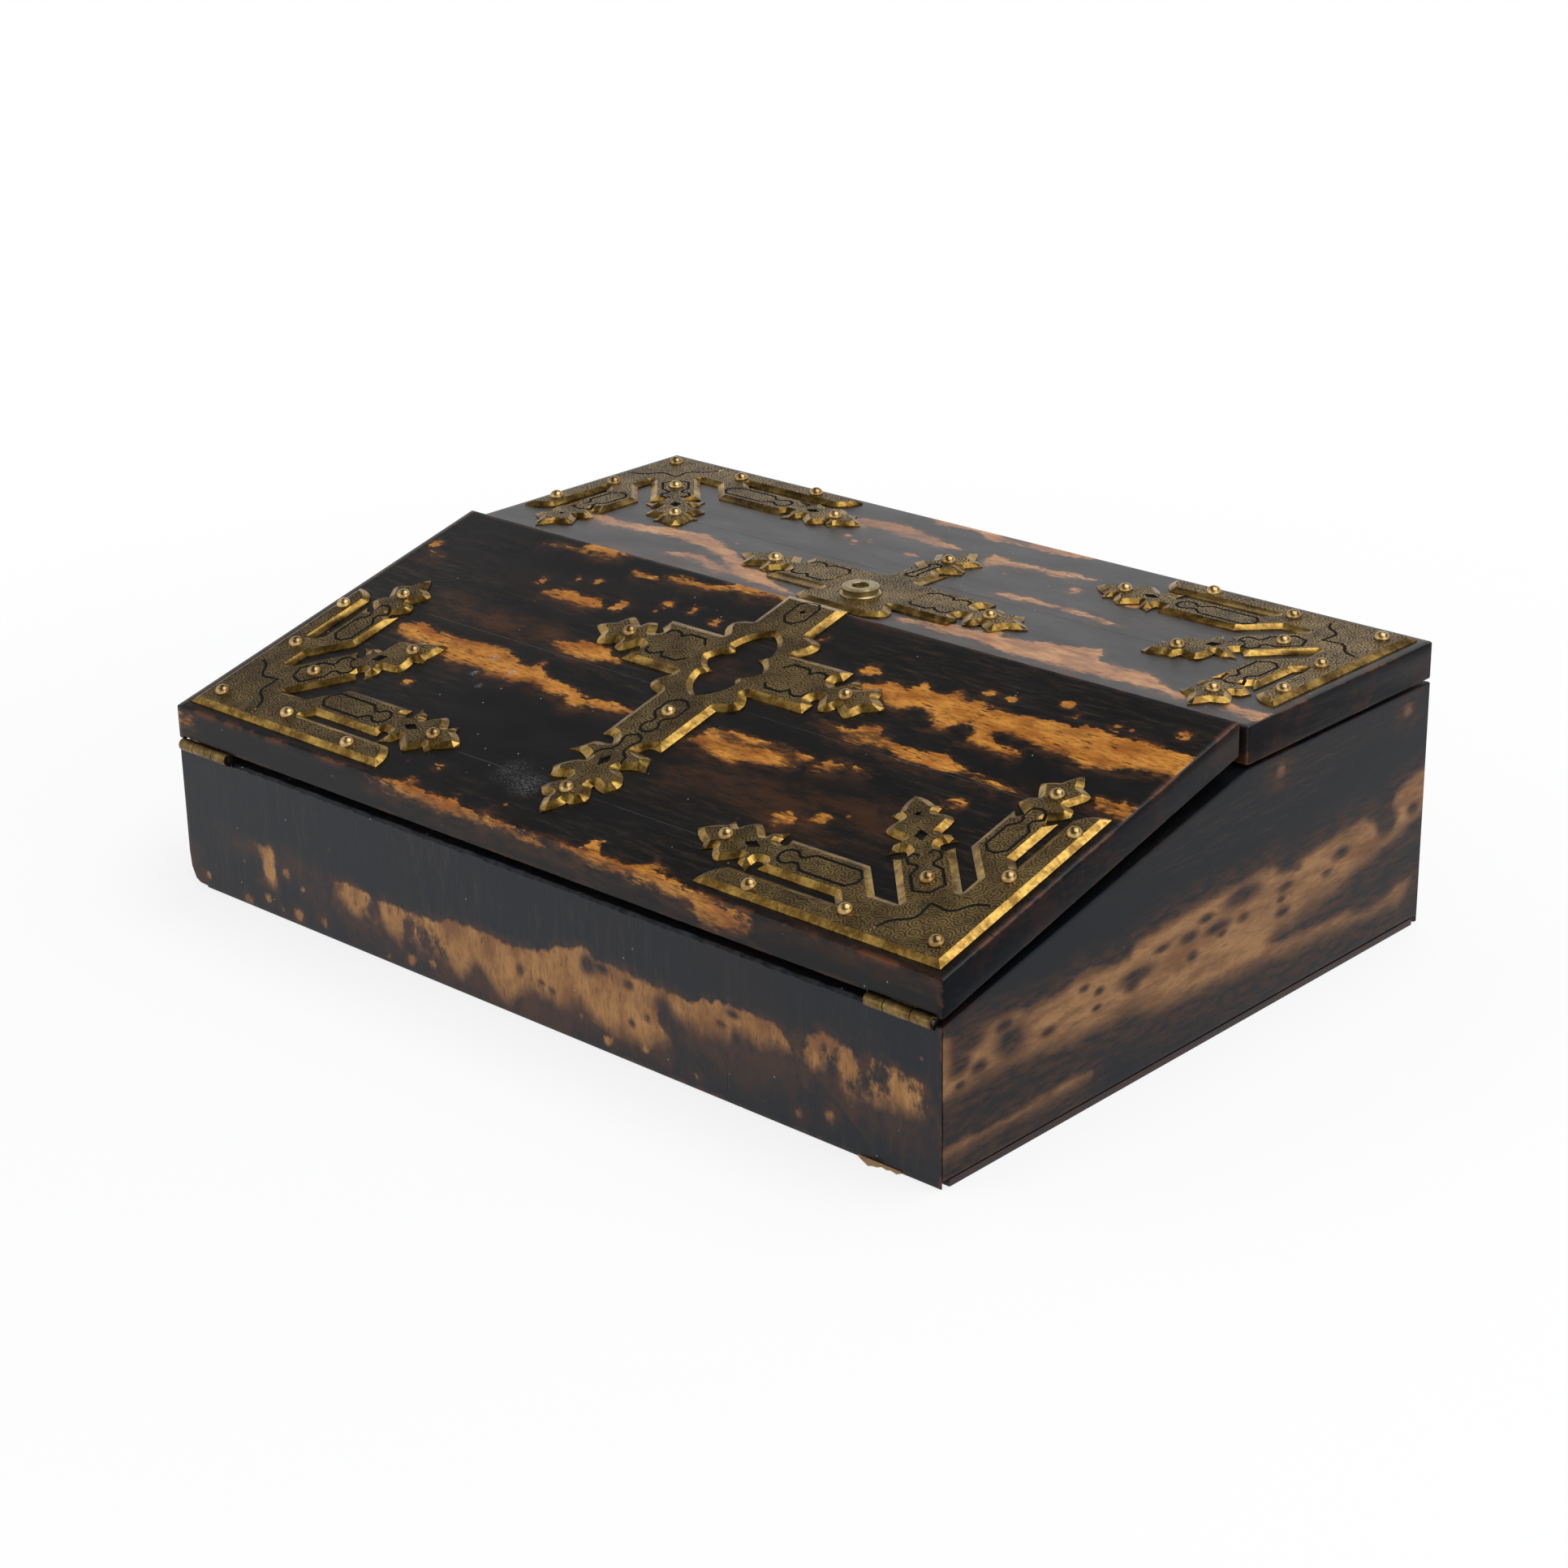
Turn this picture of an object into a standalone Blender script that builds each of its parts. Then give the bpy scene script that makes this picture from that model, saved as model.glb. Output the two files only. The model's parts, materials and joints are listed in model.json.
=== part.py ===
"""A writing box with a sloping flap, a flat lid and Gothic brass mounts.

Metres, +Z up. X runs along the front, +Y to the back. The origin is on the table,
under the middle of the box. Joint axes are empties that the moving pieces hang on.
"""

import math

import bmesh
import bpy
from mathutils import Vector

# Fits
CLEARANCE = 0.0003
PLAY = 0.0009

# Carcase
BOX_WIDTH = 0.350
BOX_DEPTH = 0.252
WALL = 0.010
FRONT_HEIGHT = 0.0523
REAR_HEIGHT = 0.0874
BASE_THICK = 0.0024
BASE_LIP = 0.003
FLOOR_THICK = 0.006
FLAP_REST = 0.009
LID_REST = 0.0025

# Lid and flap
LID_DEPTH = 0.105
LID_THICK = 0.0131
LID_GAP = 0.0012
JOINT_GAP = 0.0044
FLAP_GAP = 0.0023
FLAP_FRONT_FACE = 0.0125
FLAP_REAR_FACE = 0.0117
FLAP_PROUD = 0.0032
LEATHER_THICK = 0.001
LEATHER_MARGIN = 0.002

# Hinges
HINGE_LENGTH = 0.025
HINGE_FROM_SIDE = 0.003
REAR_HINGE_FROM_SIDE = 0.030
BARREL_RADIUS = 0.0022
BARREL_PROUD = 0.0005
BARREL_RELIEF = 0.0005
PIN_RADIUS = 0.0009
LEAF_THICK = 0.0008
LEAF_WIDTH = 0.009
END_KNUCKLE = 0.0072

# Brass mounts
MOUNT_THICK = 0.0015
MOUNT_INSET = 0.0038
RAIL_WIDTH = 0.0107
RAIL_SLOT = 0.0029
RAIL_SLANT = 0.0035
FRONT_RAIL = 0.102
SIDE_RAIL = 0.086
ARM_WIDTH = 0.0169
ARM_ROOT = 0.056
FRONT_ARM = 0.0875
SIDE_ARM_MARGIN = 0.0035
DIAGONAL_TURN = math.radians(46)
DIAGONAL_START = 0.041
DIAGONAL_BODY = 0.065
DIAGONAL_WIDTH = 0.019
SHORT_LEAF = 0.0245
LONG_LEAF = 0.0325
BIG_LEAF = 0.0435
REAR_LEAF = 0.0265
STRAP_WIDTH = 0.0268
RING_SETBACK = 0.0433
RING_LOBE = 0.0245
LOBE_FOOT = 0.017
CROSS_ARM = 0.0415
CROSS_ARM_WIDTH = 0.0264
CROSS_TIP_MARGIN = 0.0095
EYE_HEIGHT = 0.044
LID_CROSS_SETBACK = 0.027
LID_PLATE_MARGIN = 0.0015
REAR_ARM = 0.027
REAR_ARM_WIDTH = 0.0162

# Studs
STUD_RADIUS = 0.0027
STUD_HEIGHT = 0.0025
STUD_SINK = 0.0004
STUD_HOLE = 0.0008
ARM_STUD = 0.0495
LOWER_STUD = 0.033
LOWER_TIP_STUD = 0.0305
REAR_STUD = 0.0375

# Lock
LOCK_SETBACK = 0.017
LID_SKIN = 0.0014
NOZZLE_RADIUS = 0.0066
NOZZLE_HEIGHT = 0.0029
NOZZLE_FLANGE = 0.0073
FLANGE_THICK = 0.0008
LOCK_BARREL_RADIUS = 0.0027
BARREL_SUNK = 0.0012
KEY_RADIUS = 0.0016
KEY_DEPTH = 0.005
CAM_THICK = 0.0007
CAM_OFFSET = 0.0035
CAM_PIN = 0.0012
BOLT_WIDTH = 0.012
BOLT_THICK = 0.0026
BOLT_SHOULDER = 0.003
BOLT_TAIL = 0.004
CASE_WALL = 0.0009
CASE_REAR = 0.0025
KEEPER_THICK = 0.0016
KEEPER_WIDTH = 0.030
KEEPER_BELOW = 0.012
KEEPER_ABOVE = 0.0025
MORTISE_DEPTH = 0.0055

# Inside fittings
DIVIDER_THICK = 0.004
DIVIDER_HEIGHT = 0.051
CROSS_DIVIDER_HEIGHT = 0.030
BOTTLE_SIZE = 0.038
BOTTLE_PLAY = 0.0015
BOTTLE_HEIGHT = 0.026
NECK_RADIUS = 0.0115
NECK_HEIGHT = 0.006
MOUTH_RADIUS = 0.0085
GLASS_FLOOR = 0.004
COLLAR_RADIUS = 0.0135
CAP_RADIUS = 0.0138
CAP_HEIGHT = 0.005
CAP_KNUCKLE = 0.0016
CAP_PIN = 0.0006
CAP_KNUCKLE_LENGTH = 0.004
TRAY_DEPTH = 0.020
TRAY_WALL = 0.002
TRAY_RIM = 0.003

# Facets of round pieces
ROUND = 20
DOME_SIDES = 12

# Leafed tips: (along, across) of the neck, then each point and hollow, as shares of the length
SHORT_LEAF_SHAPE = [(0, 0.20), (0.28, 0.42), (0.46, 0.27), (0.68, 0.37), (0.76, 0.19), (1, 0)]
LONG_LEAF_SHAPE = [(0, 0.17), (0.12, 0.33), (0.27, 0.20), (0.45, 0.33), (0.56, 0.18),
                   (0.71, 0.225), (0.78, 0.135), (1, 0)]
BIG_LEAF_SHAPE = [(0, 0.14), (0.265, 0.40), (0.335, 0.22), (0.505, 0.345), (0.62, 0.14),
                  (0.83, 0.19), (0.88, 0.11), (1, 0)]
# A quarter of the pierced eye, top point to side point, as shares of its height
EYE_SHAPE = [(0, 0.5), (0.215, 0.24), (0.14, 0.15), (0.32, 0)]
LEAF_BOW = 0.14
LOBE_BOW = 0.45
BOW_STEPS = 3

# Places that follow from the sizes above
half_width = BOX_WIDTH / 2
front = -BOX_DEPTH / 2
back = BOX_DEPTH / 2
inner_width = half_width - WALL
inner_front = front + WALL
inner_back = back - WALL
lid_front = back - LID_DEPTH
flap_rear = lid_front - JOINT_GAP
lid_bottom = REAR_HEIGHT + LID_GAP
lid_top = lid_bottom + LID_THICK
flap_front_bottom = FRONT_HEIGHT + FLAP_GAP
flap_front_top = flap_front_bottom + FLAP_FRONT_FACE
flap_rear_top = lid_top + FLAP_PROUD
flap_rear_bottom = flap_rear_top - FLAP_REAR_FACE
wall_bottom = BASE_THICK + CLEARANCE
floor_top = wall_bottom + FLOOR_THICK
seat = floor_top + CLEARANCE
front_axis = Vector((0, front - BARREL_PROUD, FRONT_HEIGHT + FLAP_GAP / 2))
rear_axis = Vector((0, back + BARREL_PROUD, REAR_HEIGHT + LID_GAP / 2))
flap_turn = math.atan2(flap_rear_top - flap_front_top, flap_rear - front)
flap_length = math.hypot(flap_rear_top - flap_front_top, flap_rear - front)
mount_top = CLEARANCE + MOUNT_THICK
partition_front = flap_rear - FLAP_REST
partition_back = lid_front + LID_REST
partition_top = lid_bottom - CLEARANCE
side_arm = LID_DEPTH - SIDE_ARM_MARGIN - SHORT_LEAF
lock_axis = Vector((0, lid_front + LOCK_SETBACK, 0))
case_top = lid_top - LID_SKIN - CLEARANCE
cam_top = case_top - CASE_WALL - CLEARANCE
bolt_top = cam_top - CAM_THICK - CLEARANCE
bolt_bottom = bolt_top - BOLT_THICK
bolt_throw = 2 * CAM_OFFSET
bolt_tip = lid_front + 2 * CLEARANCE
bolt_shoulder = lid_front + CLEARANCE + CASE_WALL + bolt_throw + 2 * CLEARANCE
case_back = lock_axis.y + CAM_OFFSET + CAM_PIN + PLAY + BOLT_TAIL + CASE_REAR
case_half = BOLT_WIDTH / 2 + BOLT_SHOULDER + 2 * CLEARANCE + CASE_WALL
ink_bay = BOTTLE_SIZE + 2 * BOTTLE_PLAY
divider_x = inner_width - ink_bay - DIVIDER_THICK / 2
ink_y = partition_back + ink_bay / 2
ink_x = inner_width - ink_bay / 2
neck_top = seat + BOTTLE_HEIGHT + NECK_HEIGHT
cap_axis_y = ink_y + CAP_RADIUS + CAP_KNUCKLE + CLEARANCE
cap_axis_z = neck_top + CLEARANCE / 2
cap_bore = CAP_PIN + CLEARANCE


def wall_top(y):
    """Height of the carcase's top edge: a slope up to the lid, then level."""
    rise = (REAR_HEIGHT - FRONT_HEIGHT) / (lid_front - front)
    return min(REAR_HEIGHT, FRONT_HEIGHT + rise * (y - front))


def flap_underside(y):
    rise = (flap_rear_bottom - flap_front_bottom) / (flap_rear - front)
    return flap_front_bottom + rise * (y - front)


def lid_underside(y):
    return lid_bottom


# Building blocks

def finish(name, colour, roughness, metallic=0.0, alpha=1.0):
    """A material with one principled shader."""
    made = bpy.data.materials.new(name)
    made.use_nodes = True
    made.diffuse_color = (*colour, alpha)
    shader = made.node_tree.nodes["Principled BSDF"]
    shader.inputs["Base Color"].default_value = (*colour, 1)
    shader.inputs["Roughness"].default_value = roughness
    shader.inputs["Metallic"].default_value = metallic
    shader.inputs["Alpha"].default_value = alpha
    return made


def body(name, bm, material=None, axis=None):
    """A named object made of a bmesh, hung on its joint axis where it has one."""
    bmesh.ops.recalc_face_normals(bm, faces=bm.faces)
    mesh = bpy.data.meshes.new(name)
    bm.to_mesh(mesh)
    bm.free()
    mesh.shade_smooth()
    mesh.set_sharp_from_angle(angle=math.radians(35))
    made = bpy.data.objects.new(name, mesh)
    bpy.context.collection.objects.link(made)
    if material:
        mesh.materials.append(material)
    if axis:
        hang(made, axis)
    return made


def hang(made, axis):
    """Parents an object to a joint axis without moving it."""
    bpy.context.view_layer.update()
    made.parent = axis
    made.matrix_parent_inverse = axis.matrix_world.inverted()


def joint_axis(name, place, parent=None):
    axis = bpy.data.objects.new(name, None)
    axis.empty_display_size = 0.02
    axis.location = place
    bpy.context.collection.objects.link(axis)
    if parent:
        hang(axis, parent)
    return axis


def carve(made, operation, *tools):
    """Joins or cuts an object with others, which are used up."""
    for tool in tools:
        step = made.modifiers.new(operation.lower(), "BOOLEAN")
        step.operation = operation
        step.solver = "EXACT"
        step.object = tool
    bpy.context.view_layer.update()
    shaped = made.evaluated_get(bpy.context.evaluated_depsgraph_get())
    mesh = bpy.data.meshes.new_from_object(shaped)
    mesh.name = made.name
    made.modifiers.clear()
    made.data = mesh
    for tool in tools:
        bpy.data.objects.remove(tool)
    return made


def loft(bm, first, second):
    """A closed block between two rings of as many points."""
    ring_a = [bm.verts.new(point) for point in first]
    ring_b = [bm.verts.new(point) for point in second]
    bm.faces.new(ring_a)
    bm.faces.new(ring_b[::-1])
    count = len(ring_a)
    for i in range(count):
        j = (i + 1) % count
        bm.faces.new((ring_a[j], ring_a[i], ring_b[i], ring_b[j]))


def along_x(name, profile, low, high, material=None, axis=None):
    """A profile of (y, z) points drawn out along X."""
    bm = bmesh.new()
    loft(bm, [(low, y, z) for y, z in profile], [(high, y, z) for y, z in profile])
    return body(name, bm, material, axis)


def box(name, low, high, material=None, axis=None):
    profile = [(low[1], low[2]), (high[1], low[2]), (high[1], high[2]), (low[1], high[2])]
    return along_x(name, profile, low[0], high[0], material, axis)


def turned(name, profile, centre, sides, material=None, axis=None):
    """A (radius, height) profile turned about an upright line through centre."""
    bm = bmesh.new()
    rings = []
    for radius, height in profile:
        if radius == 0:
            rings.append([bm.verts.new((centre[0], centre[1], height))] * sides)
            continue
        ring = []
        for i in range(sides):
            angle = 2 * math.pi * i / sides
            point = (centre[0] + radius * math.cos(angle), centre[1] + radius * math.sin(angle), height)
            ring.append(bm.verts.new(point))
        rings.append(ring)
    closed = profile[0][0] > 0
    pairs = list(zip(rings, rings[1:] + rings[:1])) if closed else list(zip(rings, rings[1:]))
    for low, high in pairs:
        for i in range(sides):
            j = (i + 1) % sides
            corners = list(dict.fromkeys((low[i], low[j], high[j], high[i])))
            bm.faces.new(corners)
    return body(name, bm, material, axis)


def rod(name, x_low, x_high, place, radius, material=None, axis=None):
    """A round rod along X through the (y, z) place."""
    ring = []
    for i in range(ROUND):
        angle = 2 * math.pi * i / ROUND
        ring.append((place[0] + radius * math.cos(angle), place[1] + radius * math.sin(angle)))
    return along_x(name, ring, x_low, x_high, material, axis)


def tube(name, x_low, x_high, place, outer, inner):
    """A hollow rod along X, open at both ends."""
    bm = bmesh.new()
    loops = []
    for x, radius in ((x_low, inner), (x_low, outer), (x_high, outer), (x_high, inner)):
        loop = []
        for i in range(ROUND):
            angle = 2 * math.pi * i / ROUND
            point = (x, place[0] + radius * math.cos(angle), place[1] + radius * math.sin(angle))
            loop.append(bm.verts.new(point))
        loops.append(loop)
    for low, high in zip(loops, loops[1:] + loops[:1]):
        for i in range(ROUND):
            j = (i + 1) % ROUND
            bm.faces.new((low[i], low[j], high[j], high[i]))
    return body(name, bm)


def plate(name, outline, holes, low, high, material=None, axis=None):
    """A flat plate between two heights, with an outline and holes of (x, y) points."""
    bm = bmesh.new()
    edges = []
    for loop in [outline] + holes:
        verts = [bm.verts.new((x, y, low)) for x, y in loop]
        edges += [bm.edges.new(pair) for pair in zip(verts, verts[1:] + verts[:1])]
    bmesh.ops.triangle_fill(bm, use_beauty=True, use_dissolve=False, edges=edges)
    top = bmesh.ops.extrude_face_region(bm, geom=bm.faces[:])
    moved = [item for item in top["geom"] if isinstance(item, bmesh.types.BMVert)]
    bmesh.ops.translate(bm, verts=moved, vec=(0, 0, high - low))
    return body(name, bm, material, axis)


def circle(centre, radius, sides=ROUND):
    turns = [2 * math.pi * i / sides for i in range(sides)]
    return [(centre[0] + radius * math.cos(t), centre[1] + radius * math.sin(t)) for t in turns]


# Carcase

def long_wall(name, side):
    """The front wall (side -1) or the back wall (side 1), mitred at both ends, with a lip over the base."""
    face = side * BOX_DEPTH / 2
    depths = [0, BASE_LIP, BASE_LIP, WALL, WALL, 0]
    heights = [0, 0, wall_bottom, wall_bottom, wall_top(face - side * WALL), wall_top(face)]
    bm = bmesh.new()
    ends = []
    for end in (-1, 1):
        ends.append([(end * (half_width - d), face - side * d, z) for d, z in zip(depths, heights)])
    loft(bm, *ends)
    return body(name, bm, wood)


def side_wall(name, side):
    """A side wall, mitred to the front and back walls, with its top sloping down to the front."""
    bm = bmesh.new()
    rings = []
    for depth in (0, WALL):
        low = front + depth + CLEARANCE
        high = back - depth - CLEARANCE
        outline = [(low, wall_bottom), (high, wall_bottom), (high, REAR_HEIGHT),
                   (lid_front, REAR_HEIGHT), (low, wall_top(low))]
        rings.append([(side * (half_width - depth), y, z) for y, z in outline])
    loft(bm, *rings)
    return body(name, bm, wood)


def partition_rail():
    """The rail under the joint: its front step carries the flap, the rest carries the lid."""
    step = flap_rear - CLEARANCE
    profile = [
        (partition_front, seat),
        (partition_front, flap_underside(partition_front) - CLEARANCE),
        (step, flap_underside(step) - CLEARANCE),
        (step, partition_top),
        (partition_back, partition_top),
        (partition_back, seat),
    ]
    width = inner_width - CLEARANCE
    rail = along_x("partition", profile, -width, width, wood)
    pocket = keeper_box("keeper_pocket", partition_top - KEEPER_BELOW, lid_top, CLEARANCE)
    return carve(rail, "DIFFERENCE", pocket)


def carcase():
    long_wall("front_wall", -1)
    side_wall("left_wall", -1)
    side_wall("right_wall", 1)
    inside = inner_width - CLEARANCE
    lip = BASE_LIP + CLEARANCE
    box("base_board", (-half_width, front + lip, 0), (half_width, back - lip, BASE_THICK), base_wood)
    box("floor_board", (-inside, inner_front + CLEARANCE, wall_bottom),
        (inside, inner_back - CLEARANCE, floor_top), inside_wood)
    partition_rail()
    long_wall("back_wall", 1)


# Hinges

def leaf_strip(name, surface, inward, axis_place, x_low, x_high, lift, thick, start, stop):
    """A strip that follows a wooden surface, from start to stop inwards of the hinge axis."""
    low_y = axis_place.y + inward * start
    high_y = axis_place.y + inward * stop
    profile = [(y, surface(y) + lift + rise) for y, rise in
               ((low_y, 0), (high_y, 0), (high_y, thick), (low_y, thick))]
    return along_x(name, profile, x_low, x_high)


def hinge_leaf(name, surface, lift, inward, axis_place, x_low, knuckles, gaps, joint=None):
    """One leaf: a strip on the wood, notched for the other leaf's knuckles, with its own knuckles."""
    place = (axis_place.y, axis_place.z)
    bore = PIN_RADIUS + CLEARANCE
    leaf = leaf_strip(name, surface, inward, axis_place, x_low, x_low + HINGE_LENGTH, lift, LEAF_THICK,
                      bore + CLEARANCE, LEAF_WIDTH)
    leaf.data.materials.append(brass)
    reach = BARREL_RADIUS + BARREL_RELIEF
    notches = []
    for low, high in gaps:
        y_ends = sorted((axis_place.y, axis_place.y + inward * reach))
        notches.append(box("notch", (x_low + low - CLEARANCE, y_ends[0], 0),
                           (x_low + high + CLEARANCE, y_ends[1], 2 * lid_top)))
    carve(leaf, "DIFFERENCE", *notches)
    barrels = [tube("knuckle", x_low + low, x_low + high, place, BARREL_RADIUS, bore)
               for low, high in knuckles]
    carve(leaf, "UNION", *barrels)
    if joint:
        hang(leaf, joint)
    return leaf


def hinge(name, axis_place, inward, x_low, fixed_surface, moving_surface, joint):
    """A butt hinge: two leaves and a pin. The carcase leaf has the end knuckles."""
    ends = [(0, END_KNUCKLE), (HINGE_LENGTH - END_KNUCKLE, HINGE_LENGTH)]
    middle = [(END_KNUCKLE + CLEARANCE, HINGE_LENGTH - END_KNUCKLE - CLEARANCE)]
    fixed_lift = CLEARANCE - LEAF_THICK
    hinge_leaf(f"{name}_fixed_leaf", fixed_surface, fixed_lift, inward, axis_place, x_low, ends, middle)
    hinge_leaf(f"{name}_moving_leaf", moving_surface, -CLEARANCE, inward, axis_place, x_low, middle, ends,
               joint)
    rod(f"{name}_pin", x_low, x_low + HINGE_LENGTH, (axis_place.y, axis_place.z), PIN_RADIUS, steel)


def let_in_hinge(board, surface, upward, inward, axis_place, x_low):
    """Cuts the seat of a leaf and the hollow for the barrel into a board."""
    lift = -LEAF_THICK if upward > 0 else -BARREL_RADIUS
    thick = LEAF_THICK + BARREL_RADIUS
    x_ends = (x_low - CLEARANCE, x_low + HINGE_LENGTH + CLEARANCE)
    seat_cut = leaf_strip("leaf_seat", surface, inward, axis_place, *x_ends, lift, thick,
                          -BARREL_RADIUS, LEAF_WIDTH + CLEARANCE)
    hollow = rod("barrel_hollow", *x_ends, (axis_place.y, axis_place.z), BARREL_RADIUS + BARREL_RELIEF)
    return carve(board, "DIFFERENCE", seat_cut, hollow)


def hinge_places(from_side):
    """The left ends of a pair of hinges."""
    return [("left", from_side - half_width), ("right", half_width - from_side - HINGE_LENGTH)]


def hinges():
    for side, x_low in hinge_places(HINGE_FROM_SIDE):
        hinge(f"front_hinge_{side}", front_axis, 1, x_low, wall_top, flap_underside, flap_axis)
        for wall in ("front_wall", f"{side}_wall"):
            let_in_hinge(bpy.data.objects[wall], wall_top, 1, 1, front_axis, x_low)
        let_in_hinge(bpy.data.objects["flap_board"], flap_underside, -1, 1, front_axis, x_low)
    for side, x_low in hinge_places(REAR_HINGE_FROM_SIDE):
        hinge(f"rear_hinge_{side}", rear_axis, -1, x_low, wall_top, lid_underside, lid_axis)
        let_in_hinge(bpy.data.objects["back_wall"], wall_top, 1, -1, rear_axis, x_low)
        let_in_hinge(bpy.data.objects["lid_board"], lid_underside, -1, -1, rear_axis, x_low)


# Lid and flap boards

def lid_panel():
    board = box("lid_board", (-half_width, lid_front, lid_bottom), (half_width, back, lid_top), wood, lid_axis)
    gap = CLEARANCE
    pocket = box("lock_pocket", (-case_half - gap, lid_front - gap, lid_bottom - gap),
                 (case_half + gap, case_back + gap, case_top + gap))
    bore = turned("nozzle_bore", [(0, lid_bottom), (LOCK_BARREL_RADIUS + 2 * gap, lid_bottom),
                                  (LOCK_BARREL_RADIUS + 2 * gap, lid_top + LID_SKIN), (0, lid_top + LID_SKIN)],
                  lock_axis, ROUND)
    carve(board, "DIFFERENCE", pocket, bore)


def flap_panel():
    profile = [(front, flap_front_bottom), (flap_rear, flap_rear_bottom),
               (flap_rear, flap_rear_top), (front, flap_front_top)]
    board = along_x("flap_board", profile, -half_width, half_width, wood, flap_axis)
    mortise = box("bolt_mortise", (-BOLT_WIDTH / 2 - PLAY, flap_rear - MORTISE_DEPTH, bolt_bottom - PLAY),
                  (BOLT_WIDTH / 2 + PLAY, flap_rear + CLEARANCE, bolt_top + PLAY))
    carve(board, "DIFFERENCE", mortise)
    low = inner_front + LEATHER_MARGIN
    high = partition_front - LEATHER_MARGIN
    width = inner_width - LEATHER_MARGIN
    under = [(y, flap_underside(y) - CLEARANCE - drop) for y, drop in
             ((low, LEATHER_THICK), (high, LEATHER_THICK), (high, 0), (low, 0))]
    along_x("writing_surface", under, -width, width, leather, flap_axis)


# Brass mounts

def bowed(start, end, bow):
    """Points from start towards end, without it, on an arc that bows to the right of the way."""
    start = Vector(start)
    run = Vector(end) - start
    right = Vector((run.y, -run.x))
    shares = [i / BOW_STEPS for i in range(BOW_STEPS)]
    return [tuple(start + run * u + right * (4 * bow * u * (1 - u))) for u in shares]


def leafed_tip(neck, direction, length, shape):
    """The outline of a leafed tip, round its point, from the right of the neck to the left."""
    along = Vector(direction)
    across = Vector((along.y, -along.x))

    def place(point, side):
        return Vector(neck) + length * (point[0] * along + side * point[1] * across)

    right = []
    for i in range(len(shape) - 1):
        outward = i % 2 == 0 or i == len(shape) - 2
        ends = (place(shape[i], 1), place(shape[i + 1], 1))
        right += bowed(*ends, LEAF_BOW) if outward else [tuple(ends[0])]
    point = place(shape[-1], 1)
    mirrored = []
    for x, y in reversed(right):
        step = Vector((x, y)) - Vector(neck)
        mirrored.append(tuple(Vector((x, y)) - 2 * step.dot(across) * across))
    return right + [tuple(point)] + mirrored


def rail_and_arm(rail, arm, leaf, leaf_shape, slot_floor):
    """Half of a corner mount along one edge: the rail, its slot, the arm and the slanting slot behind."""
    arm_low = MOUNT_INSET + RAIL_WIDTH + RAIL_SLOT
    arm_high = arm_low + ARM_WIDTH
    points = [(rail, MOUNT_INSET), (rail - RAIL_SLANT, MOUNT_INSET + RAIL_WIDTH),
              (ARM_ROOT - RAIL_SLOT, MOUNT_INSET + RAIL_WIDTH), (ARM_ROOT, arm_low), (arm, arm_low)]
    points += leafed_tip((arm, (arm_low + arm_high) / 2), (1, 0), leaf, leaf_shape)
    points += [(arm, arm_high), (ARM_ROOT, arm_high), (ARM_ROOT - arm_high + slot_floor, slot_floor)]
    return points


def corner_outline():
    """A corner mount, as distances from the board's side edge and from its long edge."""
    along = Vector((math.cos(DIAGONAL_TURN), math.sin(DIAGONAL_TURN)))
    across = Vector((along.y, -along.x)) * DIAGONAL_WIDTH / 2
    right = [along * DIAGONAL_START + across, along * DIAGONAL_BODY + across]
    left = [along * DIAGONAL_BODY - across, along * DIAGONAL_START - across]
    front_half = rail_and_arm(FRONT_RAIL, FRONT_ARM, LONG_LEAF, LONG_LEAF_SHAPE, right[0].y)
    side_half = rail_and_arm(SIDE_RAIL, side_arm, SHORT_LEAF, SHORT_LEAF_SHAPE, left[1].x)
    diagonal = [tuple(point) for point in right]
    diagonal += leafed_tip(along * DIAGONAL_BODY, along, LONG_LEAF, LONG_LEAF_SHAPE)
    diagonal += [tuple(point) for point in left]
    return [(MOUNT_INSET, MOUNT_INSET)] + front_half + diagonal + [(b, a) for a, b in side_half[::-1]]


def corner_studs():
    """Stud places on a corner mount, in the outline's own distances."""
    rail_line = MOUNT_INSET + RAIL_WIDTH * 0.45
    arm_line = MOUNT_INSET + RAIL_WIDTH + RAIL_SLOT + ARM_WIDTH / 2
    root_line = MOUNT_INSET + RAIL_WIDTH * 0.8
    along = Vector((math.cos(DIAGONAL_TURN), math.sin(DIAGONAL_TURN)))
    return {
        "corner": (root_line - STUD_SINK, root_line),
        "front_root": (ARM_ROOT * 0.84, root_line),
        "front_rail": (FRONT_RAIL * 0.81, rail_line),
        "front_tip": (FRONT_ARM + LONG_LEAF * 0.62, arm_line),
        "side_root": (root_line, ARM_ROOT * 0.84),
        "side_rail": (rail_line, SIDE_RAIL * 0.86),
        "side_tip": (arm_line, side_arm + SHORT_LEAF * 0.45),
        "diagonal_root": tuple(along * (DIAGONAL_START * 1.22)),
        "diagonal_tip": tuple(along * (DIAGONAL_BODY + LONG_LEAF * 0.63)),
    }


def dome_profile(base):
    """A stud's half outline from its foot up to its crown."""
    steps = 4
    rim = [(0, base), (STUD_RADIUS, base)]
    turns = [math.pi / 2 * i / steps for i in range(1, steps)]
    crown = base + STUD_HEIGHT
    return rim + [(STUD_RADIUS * math.cos(t), base + STUD_HEIGHT * math.sin(t)) for t in turns] + [(0, crown)]


def lay_on_board(made, board_axis, on_flap):
    """Sets a piece that was made flat on the flap's slope or on the lid, and hangs it on the joint axis."""
    made.location = (0, front, flap_front_top) if on_flap else (0, 0, lid_top)
    made.rotation_euler = (flap_turn, 0, 0) if on_flap else (0, 0, 0)
    hang(made, board_axis)


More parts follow.
